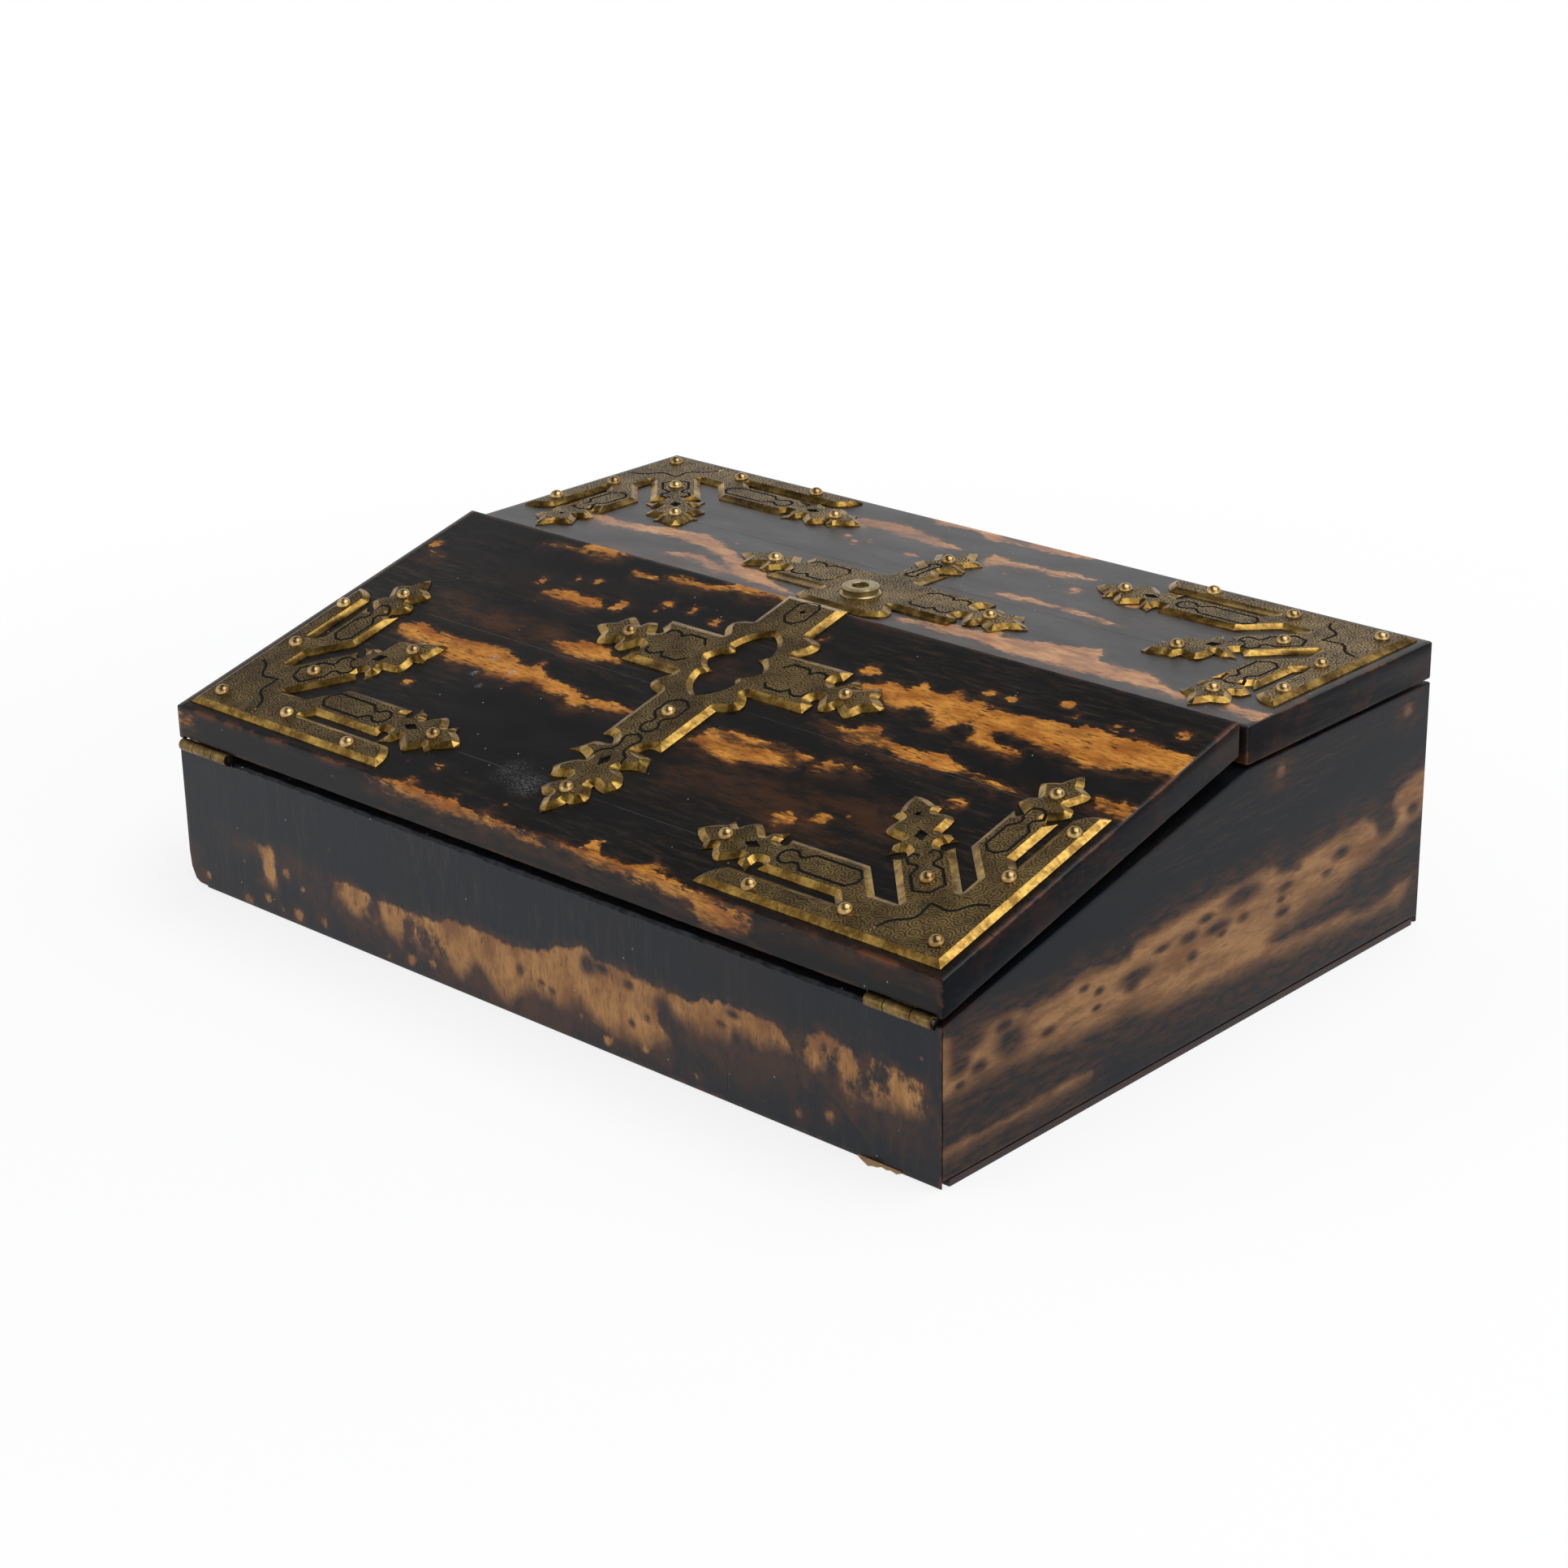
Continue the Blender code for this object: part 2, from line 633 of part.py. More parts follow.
def corner_mount(name, side, on_flap, missing):
    """A corner mount with its studs; a missing stud leaves its nail hole."""
    def place(point):
        across = side * (half_width - point[0])
        return (across, point[1]) if on_flap else (across, back - point[1])

    studs = corner_studs()
    holes = [circle(place(studs[missing]), STUD_HOLE, DOME_SIDES)] if missing else []
    outline = [place(point) for point in corner_outline()]
    mount = plate(name, outline, holes, CLEARANCE, mount_top, brass)
    domes = [turned("stud", dome_profile(mount_top - STUD_SINK), place(spot), DOME_SIDES)
             for key, spot in studs.items() if key != missing]
    carve(mount, "UNION", *domes)
    lay_on_board(mount, flap_axis if on_flap else lid_axis, on_flap)


def cross_stud(name, place, on_flap):
    stud = turned(name, dome_profile(mount_top + CLEARANCE), place, DOME_SIDES, bright_brass)
    lay_on_board(stud, flap_axis if on_flap else lid_axis, on_flap)


def eye_outline(centre):
    """The pierced pointed eye in the flap's cross mount."""
    quarter = [(x * EYE_HEIGHT, y * EYE_HEIGHT) for x, y in EYE_SHAPE]
    half = quarter + [(x, -y) for x, y in quarter[-2::-1]]
    loop = half + [(-x, y) for x, y in half[-2:0:-1]]
    return [(centre[0] + x, centre[1] + y) for x, y in loop]


def cross_arm(centre_y):
    """The right arm of a cross mount: the lobe before it, the leafed arm and the lobe behind it."""
    half = CROSS_ARM_WIDTH / 2
    strap = STRAP_WIDTH / 2
    points = bowed((strap, centre_y - RING_LOBE), (LOBE_FOOT, centre_y - half), LOBE_BOW)
    points += [(LOBE_FOOT, centre_y - half), (CROSS_ARM, centre_y - half)]
    points += leafed_tip((CROSS_ARM, centre_y), (1, 0), SHORT_LEAF, SHORT_LEAF_SHAPE)
    points += [(CROSS_ARM, centre_y + half)]
    return points


def mirrored_x(points):
    return [(-x, y) for x, y in reversed(points)]


def flap_cross():
    """The strap down the flap, with its pierced ring, side arms and big leafed tip."""
    centre_y = flap_length - RING_SETBACK
    strap = STRAP_WIDTH / 2
    body_end = CROSS_TIP_MARGIN + BIG_LEAF
    right = [(strap, body_end)] + cross_arm(centre_y)
    right += bowed((LOBE_FOOT, centre_y + CROSS_ARM_WIDTH / 2), (strap, centre_y + RING_LOBE), LOBE_BOW)
    right += [(strap, centre_y + RING_LOBE), (strap, flap_length)]
    tip = leafed_tip((0, body_end), (0, -1), BIG_LEAF, BIG_LEAF_SHAPE)
    outline = tip + right + mirrored_x(right)
    mount = plate("flap_cross_mount", outline, [eye_outline((0, centre_y))], CLEARANCE, mount_top, brass)
    lay_on_board(mount, flap_axis, True)
    for side in (-1, 1):
        cross_stud(f"flap_arm_stud_{'left' if side < 0 else 'right'}", (side * ARM_STUD, centre_y), True)
    cross_stud("flap_strap_stud", (0, centre_y - LOWER_STUD), True)
    cross_stud("flap_tip_stud", (0, body_end - LOWER_TIP_STUD), True)


def lid_cross():
    """The mount round the lock on the lid, with side arms and a rear arm."""
    centre_y = lid_front + LID_CROSS_SETBACK
    half = CROSS_ARM_WIDTH / 2
    rear = REAR_ARM_WIDTH / 2
    right = [(STRAP_WIDTH / 2, lid_front + LID_PLATE_MARGIN)] + cross_arm(centre_y)[1:]
    right += [(rear, centre_y + half), (rear, centre_y + REAR_ARM)]
    tip = leafed_tip((0, centre_y + REAR_ARM), (0, 1), REAR_LEAF, SHORT_LEAF_SHAPE)
    outline = right + tip + mirrored_x(right)
    bore = circle(lock_axis, LOCK_BARREL_RADIUS + 2 * CLEARANCE)
    mount = plate("lid_cross_mount", outline, [bore], CLEARANCE, mount_top, brass)
    lay_on_board(mount, lid_axis, False)
    for side in (-1, 1):
        cross_stud(f"lid_arm_stud_{'left' if side < 0 else 'right'}", (side * ARM_STUD, centre_y), False)
    cross_stud("lid_rear_stud", (0, centre_y + REAR_STUD), False)


def mounts():
    corner_mount("flap_left_corner_mount", -1, True, None)
    corner_mount("flap_right_corner_mount", 1, True, "diagonal_tip")
    corner_mount("lid_left_corner_mount", -1, False, "side_tip")
    corner_mount("lid_right_corner_mount", 1, False, None)
    flap_cross()
    lid_cross()


# Lock

def keeper_box(name, low, high, grow):
    middle = (flap_rear + lid_front) / 2
    half_thick = KEEPER_THICK / 2 + grow
    half_wide = KEEPER_WIDTH / 2 + grow
    return box(name, (-half_wide, middle - half_thick, low), (half_wide, middle + half_thick, high))


def keeper():
    """The plate in the joint, which the bolt passes into the flap."""
    made = keeper_box("lock_keeper", partition_top - KEEPER_BELOW + CLEARANCE, bolt_top + PLAY + KEEPER_ABOVE, 0)
    made.data.materials.append(brass)
    slot = box("keeper_slot", (-BOLT_WIDTH / 2 - PLAY, flap_rear, bolt_bottom - PLAY),
               (BOLT_WIDTH / 2 + PLAY, lid_front, bolt_top + PLAY))
    carve(made, "DIFFERENCE", slot)


def lock_case():
    """The box of the lock, let into the lid's underside and open below, with its cover and bolt rest."""
    floor = lid_bottom + CASE_WALL
    face = lid_front + CLEARANCE
    inside = case_half - CASE_WALL
    made = box("lock_case", (-case_half, face, floor + CLEARANCE), (case_half, case_back, case_top),
               brass, lid_axis)
    hollow = box("case_hollow", (-inside, face + CASE_WALL, lid_bottom),
                 (inside, case_back - CASE_WALL, case_top - CASE_WALL))
    slot = box("face_slot", (-BOLT_WIDTH / 2 - CLEARANCE, face - CLEARANCE, bolt_bottom - CLEARANCE),
               (BOLT_WIDTH / 2 + CLEARANCE, face + 2 * CASE_WALL, bolt_top + CLEARANCE))
    hole_radius = LOCK_BARREL_RADIUS + CLEARANCE
    hole = turned("barrel_hole", [(0, cam_top), (hole_radius, cam_top), (hole_radius, lid_top), (0, lid_top)],
                  lock_axis, ROUND)
    carve(made, "DIFFERENCE", hollow, slot, hole)
    cover = box("lock_cover", (-case_half, face, lid_bottom), (case_half, case_back, floor), brass, lid_axis)
    rest = box("bolt_rest", (-BOLT_WIDTH / 2, face + CASE_WALL + CLEARANCE, floor - CASE_WALL / 2),
               (BOLT_WIDTH / 2, case_back - CASE_WALL - CLEARANCE, bolt_bottom - CLEARANCE))
    carve(cover, "UNION", rest)


def lock_nozzle():
    """The round collar on the lid that takes the key."""
    low = lid_top + mount_top + CLEARANCE
    bore = LOCK_BARREL_RADIUS + CLEARANCE
    high = low + NOZZLE_HEIGHT
    profile = [(bore, low), (NOZZLE_FLANGE, low), (NOZZLE_FLANGE, low + FLANGE_THICK),
               (NOZZLE_RADIUS, low + FLANGE_THICK), (NOZZLE_RADIUS, high), (bore, high)]
    turned("lock_nozzle", profile, lock_axis, ROUND, bright_brass, lid_axis)
    return high


def lock_barrel(top):
    """The barrel that the key turns, with a cam pin on its foot."""
    crown = top - BARREL_SUNK
    cam_radius = CAM_OFFSET + CAM_PIN + CLEARANCE
    profile = [(0, cam_top - CAM_THICK), (cam_radius, cam_top - CAM_THICK), (cam_radius, cam_top),
               (LOCK_BARREL_RADIUS, cam_top), (LOCK_BARREL_RADIUS, crown), (0, crown)]
    made = turned("lock_barrel", profile, lock_axis, ROUND, brass)
    pin_place = (lock_axis.x, lock_axis.y + CAM_OFFSET)
    pin = turned("cam_pin", [(0, bolt_bottom + CLEARANCE), (CAM_PIN, bolt_bottom + CLEARANCE),
                             (CAM_PIN, cam_top - CAM_THICK / 2), (0, cam_top - CAM_THICK / 2)],
                 pin_place, DOME_SIDES)
    carve(made, "UNION", pin)
    socket = turned("key_socket", [(0, crown - KEY_DEPTH), (KEY_RADIUS, crown - KEY_DEPTH),
                                   (KEY_RADIUS, top), (0, top)], lock_axis, DOME_SIDES)
    carve(made, "DIFFERENCE", socket)
    hang(made, barrel_axis)


def lock_bolt():
    """The sliding bolt, with a cross slot for the cam pin."""
    tongue = BOLT_WIDTH / 2
    wide = tongue + BOLT_SHOULDER
    pin_y = lock_axis.y + CAM_OFFSET
    slot_half = CAM_PIN + PLAY
    rear = pin_y + slot_half + BOLT_TAIL
    outline = [(-tongue, bolt_tip), (tongue, bolt_tip), (tongue, bolt_shoulder), (wide, bolt_shoulder),
               (wide, rear), (-wide, rear), (-wide, bolt_shoulder), (-tongue, bolt_shoulder)]
    reach = CAM_OFFSET + CAM_PIN + CLEARANCE
    slot = [(-reach, pin_y - slot_half), (reach, pin_y - slot_half),
            (reach, pin_y + slot_half), (-reach, pin_y + slot_half)]
    plate("lock_bolt", outline, [slot], bolt_bottom, bolt_top, steel, bolt_axis)


# Inside fittings

def bays():
    """Boards that divide the space behind the partition, and the tray for pens on top of them."""
    low = partition_back + CLEARANCE
    high = inner_back - CLEARANCE
    half = DIVIDER_THICK / 2
    cross_y = partition_back + ink_bay
    for name, side in (("left", -1), ("right", 1)):
        middle = side * divider_x
        box(f"{name}_divider", (middle - half, low, seat), (middle + half, high, seat + DIVIDER_HEIGHT), inside_wood)
        ends = sorted((side * (divider_x + half + CLEARANCE), side * (inner_width - CLEARANCE)))
        box(f"{name}_cross_divider", (ends[0], cross_y, seat),
            (ends[1], cross_y + DIVIDER_THICK, seat + CROSS_DIVIDER_HEIGHT), inside_wood)
    rim_low = seat + DIVIDER_HEIGHT + CLEARANCE
    rim_high = rim_low + TRAY_WALL
    inside = divider_x - half - CLEARANCE
    tray = box("pen_tray", (-inside, low, rim_high - TRAY_DEPTH), (inside, high, rim_high), inside_wood)
    rim = box("tray_rim", (-inside - TRAY_RIM, low, rim_low), (inside + TRAY_RIM, high, rim_high))
    carve(tray, "UNION", rim)
    hollow = box("tray_hollow", (-inside + TRAY_WALL, low + TRAY_WALL, rim_high - TRAY_DEPTH + TRAY_WALL),
                 (inside - TRAY_WALL, high - TRAY_WALL, rim_high + TRAY_WALL))
    carve(tray, "DIFFERENCE", hollow)


def ink_bottle(name, x):
    """A square glass bottle with a round neck, hollow and open at the mouth."""
    half = BOTTLE_SIZE / 2
    low = seat
    shoulder = low + BOTTLE_HEIGHT
    glass = box(name, (x - half, ink_y - half, low), (x + half, ink_y + half, shoulder), clear_glass)
    neck = turned("neck", [(0, shoulder - GLASS_FLOOR), (NECK_RADIUS, shoulder - GLASS_FLOOR),
                           (NECK_RADIUS, neck_top), (0, neck_top)], (x, ink_y), ROUND)
    carve(glass, "UNION", neck)
    well = turned("well", [(0, low + GLASS_FLOOR), (MOUTH_RADIUS, low + GLASS_FLOOR),
                           (MOUTH_RADIUS, neck_top + GLASS_FLOOR), (0, neck_top + GLASS_FLOOR)], (x, ink_y), ROUND)
    carve(glass, "DIFFERENCE", well)


def cap_arm(name, x_low, x_high, foot_z, top_z):
    """A short arm from a ring to its knuckle."""
    root = (COLLAR_RADIUS + NECK_RADIUS) / 2
    end = cap_axis_y - (CAP_KNUCKLE + cap_bore) / 2
    return box(name, (x_low, ink_y + root, foot_z), (x_high, end, top_z))


def ink_fittings(side, x):
    """The brass collar round a bottle's neck, its hinged cap and the pin."""
    place = (cap_axis_y, cap_axis_z)
    low = seat + BOTTLE_HEIGHT + CLEARANCE
    inner = NECK_RADIUS + CLEARANCE
    half = CAP_KNUCKLE_LENGTH / 2
    collar = turned(f"ink_collar_{side}", [(inner, low), (COLLAR_RADIUS, low), (COLLAR_RADIUS, neck_top),
                                           (inner, neck_top)], (x, ink_y), ROUND, brass)
    lugs = []
    for outward in (-1, 1):
        ends = sorted((x + outward * (half + CLEARANCE), x + outward * (half + CAP_KNUCKLE_LENGTH)))
        lugs.append(cap_arm("lug", *ends, neck_top - CAP_KNUCKLE, neck_top))
        lugs.append(tube("lug_knuckle", *ends, place, CAP_KNUCKLE, cap_bore))
    carve(collar, "UNION", *lugs)
    cap_low = neck_top + CLEARANCE
    crown = cap_low + CAP_HEIGHT
    waist = cap_low + CAP_HEIGHT / 2
    cap = turned(f"ink_cap_{side}", [(0, cap_low), (CAP_RADIUS, cap_low), (CAP_RADIUS, waist),
                                     (CAP_RADIUS / 2, crown), (0, crown)], (x, ink_y), ROUND, brass)
    carve(cap, "UNION", cap_arm("cap_arm", x - half, x + half, cap_low, cap_low + CAP_KNUCKLE),
          tube("cap_knuckle", x - half, x + half, place, CAP_KNUCKLE, cap_bore))
    rod(f"ink_cap_pin_{side}", x - half - CAP_KNUCKLE_LENGTH, x + half + CAP_KNUCKLE_LENGTH, place, CAP_PIN, steel)
    hang(cap, joint_axis(f"ink_cap_{side}_axis", (x, cap_axis_y, cap_axis_z)))


# Assembly

for old in list(bpy.data.objects):
    bpy.data.objects.remove(old)

wood = finish("striped_wood", (0.035, 0.027, 0.024), 0.35)
base_wood = finish("base_wood", (0.085, 0.035, 0.022), 0.6)
inside_wood = finish("inside_wood", (0.16, 0.07, 0.035), 0.5)
brass = finish("engraved_brass", (0.42, 0.31, 0.13), 0.38, 1.0)
bright_brass = finish("polished_brass", (0.72, 0.56, 0.25), 0.2, 1.0)
steel = finish("steel", (0.45, 0.44, 0.42), 0.35, 1.0)
leather = finish("green_leather", (0.03, 0.07, 0.045), 0.55)
clear_glass = finish("clear_glass", (0.75, 0.82, 0.8), 0.05, 0.0, 0.35)

lid_axis = joint_axis("lid_axis", rear_axis)
flap_axis = joint_axis("flap_axis", front_axis)
barrel_axis = joint_axis("lock_barrel_axis", lock_axis + Vector((0, 0, lid_top)), lid_axis)
bolt_axis = joint_axis("lock_bolt_axis", Vector((0, bolt_tip, bolt_bottom)), lid_axis)

carcase()
lid_panel()
flap_panel()
hinges()
mounts()
keeper()
lock_case()
lock_barrel(lock_nozzle())
lock_bolt()
bays()
for ink_side, ink_sign in (("left", -1), ("right", 1)):
    ink_bottle(f"ink_bottle_{ink_side}", ink_sign * ink_x)
    ink_fittings(ink_side, ink_sign * ink_x)
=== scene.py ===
# %% [markdown]
# # A writing box with Gothic brass mounts
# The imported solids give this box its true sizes, its pieces and its joints. This lesson dresses them:
# veneered boards with worn edges, engraved brass cut from sheet, domed studs, hinges, a lock and the
# fittings inside. Each cell makes one kind of piece and prints what it made.

# %% Load the solids
import json
import math
import bmesh
import bpy
import numpy as np
from mathutils import Matrix, Vector
from mathutils.geometry import delaunay_2d_cdt

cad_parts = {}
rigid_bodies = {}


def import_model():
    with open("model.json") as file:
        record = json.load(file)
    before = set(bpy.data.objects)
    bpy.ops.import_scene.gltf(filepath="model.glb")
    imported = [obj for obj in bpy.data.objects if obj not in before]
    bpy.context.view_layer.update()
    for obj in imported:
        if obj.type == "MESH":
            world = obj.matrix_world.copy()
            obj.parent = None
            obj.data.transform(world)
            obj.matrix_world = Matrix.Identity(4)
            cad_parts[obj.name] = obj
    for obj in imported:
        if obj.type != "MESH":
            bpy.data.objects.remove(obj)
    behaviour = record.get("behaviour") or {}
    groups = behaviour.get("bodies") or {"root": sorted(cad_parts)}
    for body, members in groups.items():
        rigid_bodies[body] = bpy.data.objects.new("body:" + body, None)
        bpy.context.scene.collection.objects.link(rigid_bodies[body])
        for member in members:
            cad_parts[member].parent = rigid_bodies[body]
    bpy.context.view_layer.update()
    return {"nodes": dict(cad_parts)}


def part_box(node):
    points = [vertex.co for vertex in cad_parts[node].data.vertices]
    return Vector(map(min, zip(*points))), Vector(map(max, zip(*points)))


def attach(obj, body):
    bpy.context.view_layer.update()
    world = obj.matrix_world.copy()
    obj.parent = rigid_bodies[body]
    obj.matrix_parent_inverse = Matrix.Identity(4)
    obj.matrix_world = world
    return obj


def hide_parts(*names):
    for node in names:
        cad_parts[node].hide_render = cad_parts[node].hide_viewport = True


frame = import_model()

# %% [markdown]
# The main sizes are read from the solids, so that the dress fits them. The flap is a sloping board: its
# top starts at the front edge and climbs to the joint with the lid. A point on a board is given by two
# distances in its face and a height above it, and a small function turns that into a place in the world.

# %% Sizes and the two board faces
MM = 0.001
flap_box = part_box("flap_board")
lid_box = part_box("lid_board")
half_width = lid_box[1][0]
front, back = flap_box[0][1], lid_box[1][1]
flap_rear, lid_front = flap_box[1][1], lid_box[0][1]
lid_bottom, lid_top = lid_box[0][2], lid_box[1][2]
flap_front_bottom, flap_rear_top = flap_box[0][2], flap_box[1][2]
flap_front_thick = 12.5 * MM
flap_front_top = flap_front_bottom + flap_front_thick
slope = math.atan2(flap_rear_top - flap_front_top, flap_rear - front)
flap_length = math.hypot(flap_rear_top - flap_front_top, flap_rear - front)


def on_flap(x, along, height):
    """World place of a point on the flap: metres from its middle, from its front edge, above its face."""
    return Vector((x, front + along * math.cos(slope) - height * math.sin(slope),
                   flap_front_top + along * math.sin(slope) + height * math.cos(slope)))


def on_lid(x, y, height):
    """World place of a point on the lid, which is level."""
    return Vector((x, y, lid_top + height))


print("flap slope", round(math.degrees(slope), 2), "degrees, length", round(flap_length / MM, 1), "mm")

# %% [markdown]
# The camera stands to the right of the front corner, a little above the box, with a long lens, as a
# product photographer would place it. Its place, lens and small tilt are set as numbers, and the three
# axes of the camera are worked out from the bearing and the height of the view.

# %% Camera
def placed(name, data):
    made = bpy.data.objects.new(name, data)
    bpy.context.collection.objects.link(made)
    return made


def place_camera(place, bearing, height, tilt, lens):
    back_way = Vector((math.sin(bearing) * math.cos(height), -math.cos(bearing) * math.cos(height),
                       math.sin(height)))
    right = Vector((math.cos(bearing), math.sin(bearing), 0))
    up = back_way.cross(right)
    across = math.cos(tilt) * right + math.sin(tilt) * up
    upward = math.cos(tilt) * up - math.sin(tilt) * right
    eye = placed("camera", bpy.data.cameras.new("camera"))
    eye.data.lens = lens
    eye.data.sensor_width = 36
    turn = Matrix((across, upward, back_way)).transposed().to_4x4()
    eye.matrix_world = Matrix.Translation(place) @ turn
    eye.data.clip_end = 30
    bpy.context.scene.camera = eye


place_camera(place=Vector((0.7247, -0.7809, 0.4684)), bearing=math.radians(42.956),
             height=math.radians(21.717), tilt=math.radians(-0.9994), lens=76.31)
print("camera lens", bpy.context.scene.camera.data.lens)

# %% [markdown]
# Every material here is a small graph of shader nodes. Writing each node and link out is long, so short
# helpers do it: one adds a node and fills or wires its sockets, others do sums, mix colours, ease a value
# between two limits, or read a cloudy noise that may be drawn out along the grain.

# %% Helpers for shader graphs
def fill(tree, made, sockets):
    """Wires each socket whose value comes from another node, and sets the others."""
    for key, value in sockets.items():
        if isinstance(value, bpy.types.NodeSocket):
            tree.links.new(value, made.inputs[key])
        else:
            made.inputs[key].default_value = value


def node(tree, kind, sockets=None, **settings):
    made = tree.nodes.new(kind)
    for key, value in settings.items():
        setattr(made, key, value)
    fill(tree, made, sockets or {})
    return made


def add(tree, kind, sockets=None, **settings):
    return node(tree, "ShaderNode" + kind, sockets, **settings)


def sums(tree, operation, first, second=0.0, third=0.0):
    return add(tree, "Math", {0: first, 1: second, 2: third}, operation=operation).outputs[0]


def times(tree, first, second):
    return sums(tree, "MULTIPLY", first, second)


def minus(tree, first, second):
    return sums(tree, "SUBTRACT", first, second)


def vectors(tree, operation, first, second=(0, 0, 0)):
    return add(tree, "VectorMath", {0: first, 1: second}, operation=operation).outputs


def scaled(tree, value, factor, shift):
    """The value times a factor, and a shift added."""
    return sums(tree, "MULTIPLY_ADD", value, factor, shift)


def blended(tree, share, first, second):
    return add(tree, "Mix", {0: share, 6: first, 7: second}, data_type="RGBA").outputs[2]


def eased(tree, value, low, high):
    """0 up to low and 1 from high on, with a smooth change between. Low may be the larger one."""
    sockets = {"Value": value, "From Min": low, "From Max": high}
    return add(tree, "MapRange", sockets, interpolation_type="SMOOTHSTEP").outputs["Result"]


def cloudy(tree, where, scale, detail=3.0, rough=0.5, warp=0.0):
    sockets = {"Vector": where, "Scale": scale, "Detail": detail, "Roughness": rough, "Distortion": warp}
    return add(tree, "TexNoise", sockets).outputs["Fac"]


def in_object(tree):
    return add(tree, "TexCoord").outputs["Object"]


def stretched(tree, scale):
    """Object coordinates, stretched along some axes."""
    return add(tree, "Mapping", {"Vector": in_object(tree), "Scale": scale}).outputs["Vector"]


def colour(red, green, blue):
    return (red, green, blue, 1.0)


def new_finish(name):
    made = bpy.data.materials.new(name)
    made.use_nodes = True
    shader = made.node_tree.nodes["Principled BSDF"]
    return made, made.node_tree, shader


def roughen(tree, shader, height, strength, depth):
    """A bump from a height, in metres."""
    bump = add(tree, "Bump", {"Height": height, "Strength": strength, "Distance": depth})
    tree.links.new(bump.outputs["Normal"], shader.inputs["Normal"])


print("shader helpers ready")

# %% [markdown]
# The floor is pale and plain. To the camera it is white far from the box, so that it runs into the white
# background, and near the box it lets a faint shadow through. The light is that of a studio: a very large
# soft panel overhead, weaker ones at the sides, and a surround that is bright low down and dim above.

# %% Floor, light and background
def pale_floor():
    """Pale to the lamps. To the camera and to what shines it glows white, fully so far from the box."""
    made, tree, shader = new_finish("pale_floor")
    where = in_object(tree)
    far = eased(tree, vectors(tree, "LENGTH", where)["Value"], 0.24, 0.62)
    path = add(tree, "LightPath").outputs
    shines = sums(tree, "MAXIMUM", path["Is Glossy Ray"], path["Is Transmission Ray"])
    seen = sums(tree, "MAXIMUM", path["Is Camera Ray"], shines)
    glow = add(tree, "Emission", {"Color": colour(1, 1, 1), "Strength": 1.0}).outputs[0]
    share = times(tree, scaled(tree, far, 0.2, 0.8), seen)
    pale = colour(0.93, 0.93, 0.94)
    fill(tree, shader, {"Base Color": pale, "Roughness": 0.9, "Specular IOR Level": 0.0})
    mix = add(tree, "MixShader", {0: share, 1: shader.outputs[0], 2: glow})
    tree.links.new(mix.outputs[0], tree.nodes["Material Output"].inputs["Surface"])
    return made


def lay_floor():
    mesh = bpy.data.meshes.new("floor")
    reach, low = 4.0, -0.2 * MM
    corners = [(-reach, -reach, low), (reach, -reach, low), (reach, reach, low), (-reach, reach, low)]
    mesh.from_pydata(corners, [], [(0, 1, 2, 3)])
    mesh.materials.append(pale_floor())
    floor = placed("floor", mesh)


def soft_panel(name, place, size, power, aim=(0, 0, 0.05)):
    """A rectangular lamp that is turned towards the middle of the box."""
    lamp = bpy.data.lights.new(name, "AREA")
    lamp.shape = "RECTANGLE"
    lamp.size, lamp.size_y = size
    lamp.energy = power
    made = placed(name, lamp)
    made.location = place
    made.rotation_euler = (Vector(aim) - Vector(place)).to_track_quat("-Z", "Y").to_euler()


def surround():
    """White to the camera. For what shines it is bright near the horizon and dim higher up."""
    world = bpy.data.worlds.new("surround")
    bpy.context.scene.world = world
    world.use_nodes = True
    tree = world.node_tree
    path = add(tree, "LightPath").outputs
    upward = add(tree, "SeparateXYZ", {0: add(tree, "TexCoord").outputs["Generated"]}).outputs["Z"]
    shines = sums(tree, "MAXIMUM", path["Is Glossy Ray"], path["Is Transmission Ray"])
    low = times(tree, shines, eased(tree, upward, 0.62, 0.40))
    cold, white = colour(0.95, 0.97, 1.0), colour(1, 1, 1)
    lit, dusk, seen = [add(tree, "Background", {"Color": shade, "Strength": strength}).outputs[0]
                       for shade, strength in ((cold, 0.45), (cold, 0.13), (white, 1.0))]
    around = add(tree, "MixShader", {0: shines, 1: lit, 2: dusk}).outputs[0]
    share = sums(tree, "MAXIMUM", path["Is Camera Ray"], times(tree, low, 0.88))
    mix = add(tree, "MixShader", {0: share, 1: around, 2: seen})
    tree.links.new(mix.outputs[0], tree.nodes["World Output"].inputs["Surface"])


bpy.context.scene.view_settings.view_transform = "Standard"
lay_floor()
surround()
soft_panel("top_panel", (0.4, 0.35, 1.5), size=(1.7, 1.15), power=15)
soft_panel("right_panel", (1.6, -0.3, 0.9), size=(1.4, 1.2), power=5)
soft_panel("left_panel", (-1.0, -1.5, 0.9), size=(1.4, 1.2), power=4)
soft_panel("left_high_panel", (-1.15, -0.45, 1.3), size=(0.9, 0.8), power=1.5)
print("lamps:", [lamp.name for lamp in bpy.data.lights])

# %% [markdown]
# The veneer is a striped ebony: almost black, with patches of orange brown where the pale wood shows. On
# the real box each patch has its place, so every board carries attributes on its points. Streak is the
# distance in millimetres to the edge of the nearest patch, positive inside. Soft is 1 where that edge
# fades out, dim is high where a patch is broken up, cloud is 1 in the small dark ovals, brown marks places
# of faint colour and edge the rubbed corners. The parts of the finish come first: the pale and the dark
# wood, what is specked over both, and two kinds of thin black line.

